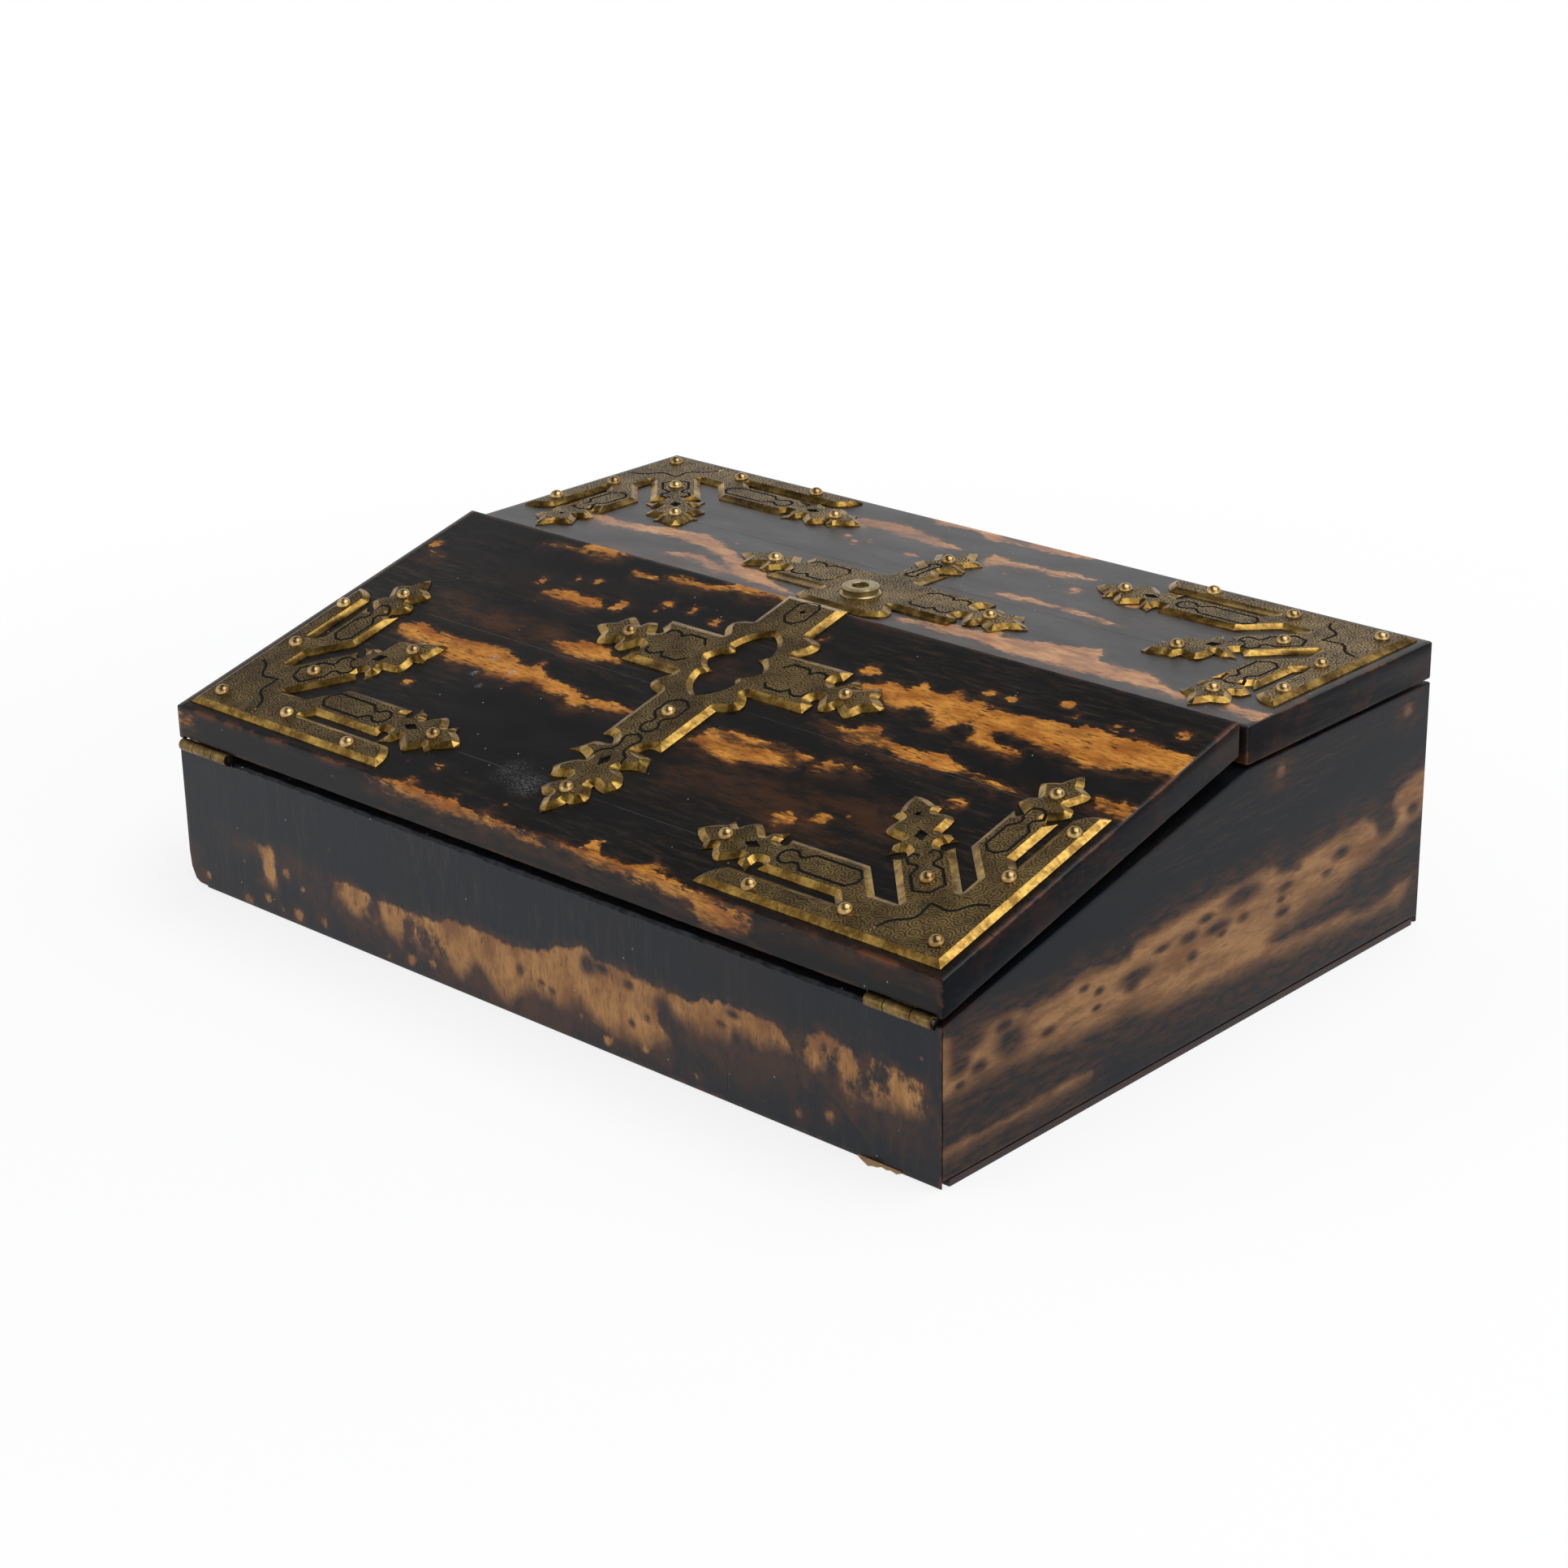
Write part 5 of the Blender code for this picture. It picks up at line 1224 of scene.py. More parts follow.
def rubbed_brass(name, dark, light, smooth):
    made, tree, shader = new_finish(name)
    where = in_object(tree)
    age, fine = cloudy(tree, where, 130, 4, 0.6), cloudy(tree, where, 700, 3, 0.6)
    mixed = scaled(tree, fine, 0.35, times(tree, age, 0.75))
    shade = blended(tree, eased(tree, mixed, 0.42, 0.74), dark, light)
    dullness = scaled(tree, age, 0.2, smooth)
    fill(tree, shader, {"Base Color": shade, "Metallic": 1.0, "Roughness": dullness})
    roughen(tree, shader, fine, 0.12, 0.1 * MM)
    return made


# Near black in the deep cuts: the dark wood at their bottom, and painted shade inside them.
def black_line():
    made, tree, shader = new_finish("waxed_line")
    grime = cloudy(tree, in_object(tree), 400)
    shade = blended(tree, grime, colour(0.003, 0.003, 0.002), colour(0.012, 0.009, 0.006))
    fill(tree, shader, {"Base Color": shade, "Roughness": 0.7, "Specular IOR Level": 0.15})
    return made


brass_top = engraved_brass()
brass_edge = rubbed_brass("rubbed_brass_edge", colour(0.15, 0.080, 0.018), colour(0.56, 0.35, 0.085),
                          smooth=0.18)
brass_stud = rubbed_brass("stud_brass", colour(0.26, 0.155, 0.055), colour(0.60, 0.42, 0.18), smooth=0.13)
brass_hinge = rubbed_brass("hinge_brass", colour(0.09, 0.057, 0.02), colour(0.30, 0.20, 0.07), smooth=0.3)
brass_collar = rubbed_brass("collar_brass", colour(0.30, 0.23, 0.11), colour(0.52, 0.42, 0.22), smooth=0.22)
deep_black_and_shade = black_line()
print("brass finishes:", [m.name for m in bpy.data.materials if "brass" in m.name], "and", deep_black_and_shade.name)

# %% [markdown]
# The mounts were cut from sheet brass, with leafed tips and bevelled edges. Each outline is drawn in
# millimetres with a few points, and its curves bow between them. A leafed tip is one list of points, each
# with the bow of the curve to the next one, laid out along its arm and mirrored. Where the leaf leaves its
# arm, a round bite is taken out on either side.

# %% Leaves of the mounts
short_leaf = [
    (0, 0.32, -0.55), (0, 0.17, 0.03), (0.17, 0.41, -0.04), (0.29, 0.37, 0.08), (0.36, 0.24, 0.02),
    (0.62, 0.40, 0.07), (0.745, 0.17, 0.05), (1, 0, 0)
]
long_leaf = [
    (0, 0.25, -0.50), (0.09, 0.165, -0.05), (0.085, 0.345, -0.10), (0.225, 0.28, 0.07),
    (0.28, 0.185, 0.0), (0.35, 0.25, 0.02), (0.475, 0.34, 0.08), (0.63, 0.18, 0.0),
    (0.735, 0.255, -0.05), (0.775, 0.165, 0.07), (1, 0, 0)
]
big_leaf = [
    (0, 0.29, -0.25), (0.075, 0.14, -0.04), (0.095, 0.30, -0.06), (0.268, 0.405, -0.12),
    (0.322, 0.17, 0.0), (0.345, 0.225, 0.07), (0.497, 0.355, -0.05), (0.605, 0.285, 0.05),
    (0.56, 0.14, 0.0), (0.59, 0.14, 0.06), (0.735, 0.24, 0.03), (0.82, 0.15, 0.08), (0.815, 0.10, 0.0),
    (0.84, 0.105, 0.06), (1, 0, 0)
]


def bowed(start, end, bow, count=6):
    """Points from start towards end on an arc that bows to the right of the way."""
    start = Vector(start)
    run = Vector(end) - start
    right = Vector((run.y, -run.x))
    shares = [i / count for i in range(count)]
    return [tuple(start + run * u + right * (4 * bow * u * (1 - u))) for u in shares]


def leafed_tip(neck, direction, length, shape):
    """A leaf of some length on a neck: the shape on the right of the way, and its mirror on the left."""
    along = Vector(direction)
    across = Vector((along.y, -along.x))
    spots = [Vector(neck) + length * (s * along + t * across) for s, t, bow in shape]
    right = []
    for i in range(len(spots) - 1):
        right += bowed(spots[i], spots[i + 1], shape[i][2], 5)
    mirrored = []
    for spot in reversed(right):
        aside = (Vector(spot) - Vector(neck)).dot(across)
        mirrored.append(tuple(Vector(spot) - 2 * aside * across))
    return right + [tuple(spots[-1])] + mirrored


print("leaf shapes:", [len(shape) for shape in (short_leaf, long_leaf, big_leaf)], "points on a side")

# %% [markdown]
# A corner mount has a rail along both edges of its board, an arm beside each rail and one on the diagonal.
# A cross is a strap with two side arms. That on the flap is pierced with a pointed eye, that on the lid has
# a bore for the lock.

# %% Outlines of the mounts
eye_quarter, eye_bows = [(0, 20), (8.2, 9.2), (5.2, 5.8), (12.4, 0)], (-0.12, 0.0, -0.12)
plate_inset, rail_edge, rail_stop, rail_taper = 3.8, 14.5, 53.1, 5.5
arm_low, arm_middle, arm_high, arm_root = 17.4, 25.85, 34.3, 56
diagonal_half, diagonal_root, diagonal_end = 9.5, 41, 65
strap_half, strap_start, flare_end = 13.4, 53, 24.5
cross_half, cross_root, cross_end = 13.2, 17, 41.5
rear_half, rear_end, bore_radius = 8.1, 27, 3.4


def rail_and_arm(rail, arm, leaf, shape, slot_floor):
    taper = (rail - rail_taper, rail_edge)
    points = bowed((rail, plate_inset), taper, 0.14) + [taper, (rail_stop, rail_edge)]
    points += [(arm_root, arm_low), (arm, arm_low)] + leafed_tip((arm, arm_middle), (1, 0), leaf, shape)
    return points + [(arm, arm_high), (arm_root, arm_high), (arm_root - arm_high + slot_floor, slot_floor)]


diagonal = Vector((math.cos(math.radians(46)), math.sin(math.radians(46))))
diagonal_side = Vector((diagonal.y, -diagonal.x))


def corner_outline():
    aside, root, end = diagonal_side * diagonal_half, diagonal * diagonal_root, diagonal * diagonal_end
    right, left = [root + aside, end + aside], [end - aside, root - aside]
    long_half = rail_and_arm(rail=102, arm=87.5, leaf=32.5, shape=long_leaf, slot_floor=right[0].y)
    short_half = rail_and_arm(rail=86, arm=77, leaf=24.5, shape=short_leaf, slot_floor=left[1].x)
    middle = [tuple(p) for p in right] + leafed_tip(end, diagonal, 32.5, long_leaf)
    middle += [tuple(p) for p in left]
    return [(plate_inset, plate_inset)] + long_half + middle + [(b, a) for a, b in short_half[::-1]]


def cross_arm(centre):
    points = bowed((strap_half, centre - flare_end), (cross_root, centre - cross_half), 0.45)
    points += [(cross_root, centre - cross_half), (cross_end, centre - cross_half)]
    points += leafed_tip((cross_end, centre), (1, 0), 24.5, short_leaf)
    return points + [(cross_end, centre + cross_half)]


def mirrored_x(points):
    return [(-x, y) for x, y in reversed(points)]


ring_centre = flap_length / MM - 43.3


def flap_cross_loops():
    flare = (strap_half, ring_centre + flare_end)
    right = [(strap_half, strap_start)] + cross_arm(ring_centre)
    right += bowed((cross_root, ring_centre + cross_half), flare, 0.45)
    right += [flare, (strap_half, flap_length / MM - 0.1)]
    outline = leafed_tip((0, strap_start), (0, -1), 43.5, big_leaf) + right + mirrored_x(right)
    eye = []
    for start, end, bow in zip(eye_quarter, eye_quarter[1:], eye_bows):
        eye += bowed(start, end, bow, 5)
    half = eye + [eye_quarter[-1]] + [(x, -y) for x, y in reversed(eye)]
    loop = half + [(-x, y) for x, y in half[-2:0:-1]]
    return [outline, [(x, ring_centre + y) for x, y in loop]]


lid_cross_centre = lid_front / MM + 27


def lid_cross_loops():
    tip_start = lid_cross_centre + rear_end
    right = [(strap_half, lid_front / MM + 1.5)] + cross_arm(lid_cross_centre)[1:]
    right += [(rear_half, lid_cross_centre + cross_half), (rear_half, tip_start)]
    tip = leafed_tip((0, tip_start), (0, 1), 26.5, short_leaf)
    low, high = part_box("lock_nozzle")
    lock_y = (low[1] + high[1]) / 2 / MM
    turns = [2 * math.pi * i / 32 for i in range(32)]
    bore = [(bore_radius * math.cos(turn), lock_y + bore_radius * math.sin(turn)) for turn in turns]
    return [right + tip + mirrored_x(right), bore]


cross_counts = [[len(loop) for loop in loops] for loops in (flap_cross_loops(), lid_cross_loops())]
print("outline points: a corner", len(corner_outline()), "the crosses", cross_counts)

# %% [markdown]
# The deep lines on the mounts frame panels: six-sided cartouches that end in a round loop, an ogee line
# across each corner, and small sunk diamonds. They are drawn as open or closed lines, in the same
# millimetres as the outlines.

# %% Panel lines
def turned_line(points, start, direction):
    """Lays a line of (along, across) points out from a place, in a direction."""
    along = Vector(direction)
    across = Vector((along.y, -along.x))
    return [tuple(Vector(start) + s * along + t * across) for s, t in points]


def curved(points, count=4):
    """A smooth line through a few points."""
    spots = [Vector(p) for p in points[:1] + points + points[-1:]]
    line = []
    for before, start, end, after in zip(spots, spots[1:], spots[2:], spots[3:]):
        for u in (k / count for k in range(count)):
            bend = 2 * before - 5 * start + 4 * end - after
            twist = 3 * (start - end) + after - before
            line.append(tuple(start + 0.5 * (u * (end - before) + u ** 2 * bend + u ** 3 * twist)))
    return line + [tuple(spots[-1])]


def cartouche(length, half, loop):
    """A six-sided panel that narrows to a waist and ends in a round loop."""
    waist = length - 2 * loop - 1.2
    upper = [(0, 1.4), (2.6, half), (waist - 3.2, half), (waist - 0.4, 1.6)]
    centre = length - loop
    turns = [math.radians(a) for a in (150, 120, 90, 60, 30, 0)]
    upper += [(centre + loop * math.cos(t), loop * math.sin(t)) for t in turns]
    return upper + [(s, -t) for s, t in upper[-2::-1]] + [(0, 1.4)]


def six_sided(low, high, half, point):
    upper = [(low, half * 0.35), (low + point, half), (high - point, half), (high, half * 0.35)]
    return upper + [(s, -t) for s, t in reversed(upper)] + [upper[0]]


def diamond(s, half_long, half_wide):
    return [(s - half_long, 0), (s, half_wide), (s + half_long, 0), (s, -half_wide)]


def corner_lines():
    lines = [turned_line(cartouche(32, 4.2, 3.5), (53, arm_middle), (1, 0)),
             [(b, a) for a, b in turned_line(cartouche(24.5, 4.2, 3.5), (55.5, arm_middle), (1, 0))]]
    hexagon = [(42.5, 0), (45, 4.9), (53.5, 4.9), (56.5, 2.4), (58, 2.6), (59.5, 5.0), (62.5, 5.4),
               (64.5, 3.2), (63, 1.6)]
    lines += [turned_line([(s, t * side) for s, t in hexagon], (0, 0), diagonal) for side in (1, -1)]
    ogee = [(37, 0), (34.4, 2.2), (31.8, 4.4), (31.2, 7.2), (32.0, 10.5), (31.9, 13.5), (30.4, 16.8)]
    lines += [turned_line([(s, t * side) for s, t in curved(ogee)], (0, 0), diagonal) for side in (1, -1)]
    pits = [turned_line(diamond(96.5, 3.4, 1.9), (0, arm_middle), (1, 0)),
            turned_line(diamond(73.5, 3.2, 2.2), (0, 0), diagonal)]
    return lines, pits


def arm_lines(centre):
    half = [(18, 4.6), (20.5, 7.5), (27.5, 7.5), (29.2, 5.2), (31.2, 7.0), (33.5, 7.6), (35.8, 6.6),
            (36.3, 4.6)]
    return [[(x * side, centre + y * way) for x, y in half] for side in (1, -1) for way in (1, -1)]


def flap_cross_lines():
    lines = arm_lines(ring_centre)
    lines.append(turned_line(six_sided(27.5, 42, 4.6, 3.4), (0, ring_centre), (0, 1)))
    lines.append(turned_line(cartouche(20, 4.8, 3.2), (0, ring_centre - 25.5), (0, -1)))
    scroll = [(47.5, 0), (50, 3.4), (54, 2.2), (57.5, 2.6), (60, 5.6), (63, 6.4)]
    lines += [turned_line([(s, t * side) for s, t in curved(scroll)], (0, ring_centre), (0, -1))
              for side in (1, -1)]
    pits = [turned_line(diamond(64, 3.6, 2.0), (0, ring_centre), (0, -1)),
            turned_line(diamond(35, 1.3, 1.3), (0, ring_centre), (0, 1))]
    return lines, pits


def lid_cross_lines():
    lines = arm_lines(lid_cross_centre)
    slot = [(15.5, 1.6), (17.5, 2.4), (19, 1.4), (28.5, 1.4), (30, 2.6), (32, 1.4)]
    slot = slot + [(s, -t) for s, t in reversed(slot)] + [slot[0]]
    lines.append(turned_line(slot, (0, lid_cross_centre), (0, 1)))
    return lines, []


print("lines on a corner:", len(corner_lines()[0]), "on the flap cross:", len(flap_cross_lines()[0]))

# %% [markdown]
# A bevel that follows a leafed outline is hard to make with the Bevel modifier, because its corners run
# into each other. Here the height of each point follows from its distance to the outline, so the facets
# meet in clean ridges by themselves. The line at the bevel's width is traced on a grid, and Blender's
# constrained triangulation joins outline, bevel line and panel lines into one mesh.

# %% Helpers for bevelled plates
def traced_line(field, level, corner, pitch):
    """Points and edges of the line where a field on a grid passes a level."""
    above = field > level
    total = above[:-1, :-1].astype(int) + above[1:, :-1] + above[:-1, 1:] + above[1:, 1:]
    spots, edges = {}, []
    for row, column in np.argwhere((total > 0) & (total < 4)):
        ring = [(row, column), (row, column + 1), (row + 1, column + 1), (row + 1, column)]
        crossings = []
        for p, q in zip(ring, ring[1:] + ring[:1]):
            if above[p] != above[q]:
                key = (min(p, q), max(p, q))
                share = (level - field[key[0]]) / (field[key[1]] - field[key[0]])
                place = np.array(key[0]) + share * (np.array(key[1]) - np.array(key[0]))
                spots[key] = (corner[0] + place[1] * pitch, corner[1] + place[0] * pitch)
                crossings.append(key)
        edges += [(crossings[i], crossings[i + 1]) for i in range(0, len(crossings) - 1, 2)]
    keys = {key: i for i, key in enumerate(spots)}
    return list(spots.values()), [(keys[a], keys[b]) for a, b in edges]


def both_sides(line, half):
    """The two lines beside a line, at half its width."""
    points = [Vector(p) for p in line]
    closed = (points[0] - points[-1]).length < 1e-6
    count = len(points)
    rows = [[], []]
    for i, point in enumerate(points):
        before = points[i - 1] if i else (points[-2] if closed else point)
        after = points[i + 1] if i < count - 1 else (points[1] if closed else point)
        ways = [w.normalized() for w in (point - before, after - point) if w.length > 1e-6]
        way = (ways[0] + ways[-1]).normalized()
        aside = Vector((way.y, -way.x))
        widen = half / max(0.55, aside.dot(Vector((ways[0].y, -ways[0].x))))
        rows[0].append(tuple(point + aside * widen))
        rows[1].append(tuple(point - aside * widen))
    return rows


print("plate helpers ready")

# %% [markdown]
# With these helpers a mount is a heightfield over its outline: it rises along the bevel to the engraved
# top, dips into each panel line, and drops into the sunk diamonds. A flat copy below and a thin wall
# round the rim close it.

# %% Bevelled plates
line_half, line_depth, pit_depth, pit_floor = 0.55, 0.5, 0.9, 0.8
rim_height, plate_top, underside, grid_pitch = 0.5, 1.75, 0.02, 0.5
top_slot, edge_slot, deep_black_and_shade_slot = 0, 1, 2


def rim_distance(points, loops):
    """Distance to the outline; the bevel round an opening is narrower, so its distance counts for more."""
    best = distance_to(points, line_pieces(loops[:1], True))
    return np.minimum(best, 1.5 * distance_to(points, line_pieces(loops[1:], True)))


def bevel_line(loops, bevel):
    """The line inside the outline at the bevel's width, traced on a grid."""
    everything = np.array([p for loop in loops for p in loop])
    corner = everything.min(0) - 2 * grid_pitch
    columns, rows = np.ceil((everything.max(0) + 2 * grid_pitch - corner) / grid_pitch).astype(int) + 1
    across, upward = corner[0] + grid_pitch * np.arange(columns), corner[1] + grid_pitch * np.arange(rows)
    flat = np.stack(np.meshgrid(across, upward), -1).reshape(-1, 2)
    within = inside_of(flat, line_pieces(loops, True))
    depth = np.where(within, rim_distance(flat, loops), -1.0).reshape(rows, columns)
    return traced_line(depth, bevel, corner, grid_pitch)


def triangles(loops, lines, pits, bevel):
    """Points and triangles over the outline, with edges along its rims, bevel, lines and pits."""
    runs = [(loop, True) for loop in loops]
    for line in lines:
        runs += [(row, False) for row in [line] + both_sides(line, line_half)]
    for pit in pits:
        middle = sum((Vector(p) for p in pit), Vector((0, 0))) / len(pit)
        runs += [(pit, True), ([middle + (Vector(p) - middle) * pit_floor for p in pit], True)]
    spots, edges = bevel_line(loops, bevel)
    for points, closed in runs:
        start, count = len(spots), len(points)
        spots += [tuple(p) for p in points]
        edges += [(start + i, start + (i + 1) % count) for i in range(count if closed else count - 1)]
    result = delaunay_2d_cdt([Vector(p) for p in spots], edges, [], 0, 1e-5)
    points, faces = np.array([tuple(v) for v in result[0]]), np.array(result[2])
    return points, faces[inside_of(points[faces].mean(1), line_pieces(loops, True))]


def bevelled_plate(name, loops, lines, pits, bevel, place):
    """A mount whose heights follow from the distance to its rims, lines and pits."""
    points, faces = triangles(loops, lines, pits, bevel)
    centres = points[faces].mean(1)
    grooves, holes = line_pieces(lines, False), line_pieces(pits, True)
    rise = np.clip(rim_distance(points, loops) / bevel, 0, 1)
    height = rim_height + (plate_top - rim_height) * rise
    height -= line_depth * np.clip(1 - distance_to(points, grooves) / line_half, 0, 1)
    sunk = inside_of(points, holes) & (distance_to(points, holes) > 0.05)
    height = np.where(sunk, plate_top - pit_depth, height)
    kind = np.where(rim_distance(centres, loops) < bevel * 0.97, edge_slot, top_slot)
    # Faces in the deep lines and pits take the near-black finish: dark wood and painted shade.
    kind = np.where(distance_to(centres, grooves) < line_half * 0.9, deep_black_and_shade_slot, kind)
    kind = np.where(inside_of(centres, holes), deep_black_and_shade_slot, kind)
    return closed_plate(name, points, faces, height, kind, place)


def closed_plate(name, points, faces, height, kind, place):
    """Joins the top, a flat copy below and the wall between them."""
    bm = bmesh.new()
    used = np.unique(faces)
    top = {i: bm.verts.new(place(points[i][0] * MM, points[i][1] * MM, height[i] * MM)) for i in used}
    low = {i: bm.verts.new(place(points[i][0] * MM, points[i][1] * MM, underside * MM)) for i in used}
    for face, slot in zip(faces, kind):
        bm.faces.new([top[i] for i in face]).material_index = int(slot)
        bm.faces.new([low[i] for i in face[::-1]]).material_index = edge_slot
    walls = {}
    for face in faces:
        for a, b in zip(face, np.roll(face, -1)):
            if (b, a) in walls:
                del walls[(b, a)]
            else:
                walls[(a, b)] = True
    for a, b in walls:
        bm.faces.new((top[b], top[a], low[a], low[b])).material_index = edge_slot
    bmesh.ops.recalc_face_normals(bm, faces=bm.faces)
    return shaded(to_mesh(bm, name, brass_top, brass_edge, deep_black_and_shade), sharp=14)


print("plates are", plate_top, "mm thick, with lines", 2 * line_half, "mm wide")

# %% [markdown]
# The four corner mounts share one outline, mirrored from side to side and from flap to lid. The two
# crosses have outlines of their own: the one on the flap has a pierced pointed eye, the one on the lid
# surrounds the lock. Two nails of the corner mounts are lost, and there the bare nail holes show.

# %% Corner and cross mounts
def corner_place(side, board):
    def place(x, y, z):
        across = side * (half_width - x)
        return on_flap(across, y, z) if board == "flap" else on_lid(across, back - y, z)
    return place


corner_bevel, cross_bevel = 2.4, 2.9
corner_studs = [(11.96, 12.36), (47.04, 12.36), (82.62, 8.62), (107.65, arm_middle), (12.36, 47.04),
                (8.62, 73.96), (arm_middle, 88.03), tuple(diagonal * 50.02), tuple(diagonal * 85.48)]
missing = {"flap_right": 8, "lid_left": 6}
nail_hole = [(math.cos(math.pi * i / 6), math.sin(math.pi * i / 6)) for i in range(12)]
corner_marks, corner_pits = corner_lines()
for board in ("flap", "lid"):
    for side, word in ((-1, "left"), (1, "right")):
        mount = f"{board}_{word}_corner_mount"
        lost = [corner_studs[i] for key, i in missing.items() if mount.startswith(key)]
        holes = [turned_line(nail_hole, spot, (1, 0)) for spot in lost]
        mesh = bevelled_plate(mount + "_engraved", [corner_outline()], corner_marks, corner_pits + holes,
                              corner_bevel, corner_place(side, board))
        piece(mount + "_engraved", mesh, board, "engraved_brass", mount)
for mount, loops, marks, place in (("flap_cross_mount", flap_cross_loops(), flap_cross_lines(), on_flap),
                                   ("lid_cross_mount", lid_cross_loops(), lid_cross_lines(), on_lid)):
    mesh = bevelled_plate(mount + "_engraved", loops, *marks, cross_bevel, place)
    piece(mount + "_engraved", mesh, mount.split("_")[0], "engraved_brass", mount)

# %% [markdown]
# Many like pieces are a task for Geometry Nodes: a tree makes one of them and sets it on every given point.
# Short helpers start a tree, end it and run it on loose points. The result is turned into a plain mesh, so
# that nothing depends on the modifier afterwards.

# %% Geometry Nodes helpers
def step(tree, kind, sockets=None):
    return node(tree, "GeometryNode" + kind, sockets).outputs[0]


def new_tree(name, **inputs):
    tree = bpy.data.node_groups.new(name, "GeometryNodeTree")
    tree.interface.new_socket("Geometry", in_out="INPUT", socket_type="NodeSocketGeometry")
    for label, kind in inputs.items():
        tree.interface.new_socket(label, in_out="INPUT", socket_type="NodeSocket" + kind)
    tree.interface.new_socket("Geometry", in_out="OUTPUT", socket_type="NodeSocketGeometry")
    return tree, node(tree, "NodeGroupInput").outputs


def end_tree(tree, shape, material):
    """Realizes the copies, makes them smooth, gives them a material and hands them out."""
    real = step(tree, "RealizeInstances", {0: shape})
    smooth = step(tree, "SetShadeSmooth", {"Geometry": real})
    done = step(tree, "SetMaterial", {"Geometry": smooth, "Material": material})
    node(tree, "NodeGroupOutput", {0: done})


def grown(name, points, tree, values):
    """Runs a tree on loose points and returns a plain mesh."""
    seed = bpy.data.meshes.new(name)
    seed.from_pydata([tuple(p) for p in points], [], [])
    carrier = placed(name, seed)
    modifier = carrier.modifiers.new("nodes", "NODES")
    modifier.node_group = tree
    for item in tree.interface.items_tree:
        if item.item_type == "SOCKET" and item.name in values:
            modifier[item.identifier] = values[item.name]
    mesh = frozen(carrier)
    bpy.data.objects.remove(carrier)
    return mesh


print("geometry helpers ready")

# %% [markdown]
# Round-headed brass nails hold the mounts. The tree squeezes the lower half of a ball flat to get a dome,
# sets it on each point and leans it with the slope of the board. At random, each is also tilted a little
# and turned round its axis.

# %% Studs
stud_sizes = {"Radius": 2.7 * MM, "Height": 2.5 * MM, "Seed": 4, "Finish": brass_stud}
stud_foot, arm_stud = 1.55 * MM, 49.5


def stud_tree():
    tree, given = new_tree("round_headed_studs", Radius="Float", Height="Float", Slope="Float", Seed="Int",
                           Finish="Material")
    ball = step(tree, "MeshUVSphere", {"Segments": 28, "Rings": 20, "Radius": 1.0})
    part = add(tree, "SeparateXYZ", {0: step(tree, "InputPosition")}).outputs
    sides = [times(tree, part[i], given["Radius"]) for i in (0, 1)]
    rise = times(tree, sums(tree, "MAXIMUM", part[2], 0.0), given["Height"])
    place = add(tree, "CombineXYZ", {0: sides[0], 1: sides[1], 2: rise}).outputs[0]
    dome = step(tree, "SetPosition", {"Geometry": ball, "Position": place})
    limits = {0: (-0.05, -0.05, 0.0), 1: (0.05, 0.05, 6.28), "Seed": given["Seed"]}
    wobble = node(tree, "FunctionNodeRandomValue", limits, data_type="FLOAT_VECTOR").outputs[0]
    lean = add(tree, "CombineXYZ", {0: given["Slope"]}).outputs[0]
    ways = [node(tree, "FunctionNodeEulerToRotation", {0: way}).outputs[0] for way in (lean, wobble)]
    turn = node(tree, "FunctionNodeRotateRotation", dict(enumerate(ways)), rotation_space="LOCAL")
    copied = {"Points": given["Geometry"], "Instance": dome, "Rotation": turn.outputs[0]}
    end_tree(tree, step(tree, "InstanceOnPoints", copied), given["Finish"])
    return tree


studs = stud_tree()
for board, lay, lean in (("flap", on_flap, slope), ("lid", on_lid, 0.0)):
    spots = []
    for side, word in ((-1, "left"), (1, "right")):
        on_corner = corner_place(side, board)
        kept = [spot for i, spot in enumerate(corner_studs) if missing.get(f"{board}_{word}") != i]
        spots += [on_corner(x * MM, y * MM, stud_foot) for x, y in kept]
    centre = ring_centre if board == "flap" else lid_cross_centre
    middle = [(-arm_stud, centre), (arm_stud, centre)]
    middle += [(0, centre - 33), (0, 22.5)] if board == "flap" else [(0, centre + 37.5)]
    spots += [lay(x * MM, y * MM, stud_foot) for x, y in middle]
    mesh = grown(board + "_studs", spots, studs, {**stud_sizes, "Slope": lean})
    loose = [f"{board}_arm_stud_left", f"{board}_arm_stud_right"]
    loose += ["flap_strap_stud", "flap_tip_stud"] if board == "flap" else ["lid_rear_stud"]
    piece(board + "_studs", mesh, board, "polished_brass", *loose)

# %% [markdown]
# The lock's collar is turned on a lathe: a profile swept round an axis. Its upper rim is milled, which
# means pressed with a toothed wheel, so the fine ridges are again instanced, this time round a circle.
# The other pieces of the lock follow further down.

# %% Lock collar
def turned(profile, centre, sides=64):
    """A lathe form: the profile goes round the axis once and closes on itself."""
    bm = bmesh.new()
    rings = []
    for i in range(sides):
        turn = 2 * math.pi * i / sides
        rings.append([bm.verts.new((centre[0] + r * math.cos(turn), centre[1] + r * math.sin(turn), z))
                      for r, z in profile])
    count = len(profile)
    for i in range(sides):
        for j in range(count):
            k = (j + 1) % count
            bm.faces.new((rings[i][j], rings[i - 1][j], rings[i - 1][k], rings[i][k]))
    bmesh.ops.remove_doubles(bm, verts=bm.verts, dist=1e-7)
    bmesh.ops.recalc_face_normals(bm, faces=bm.faces)
    return bm


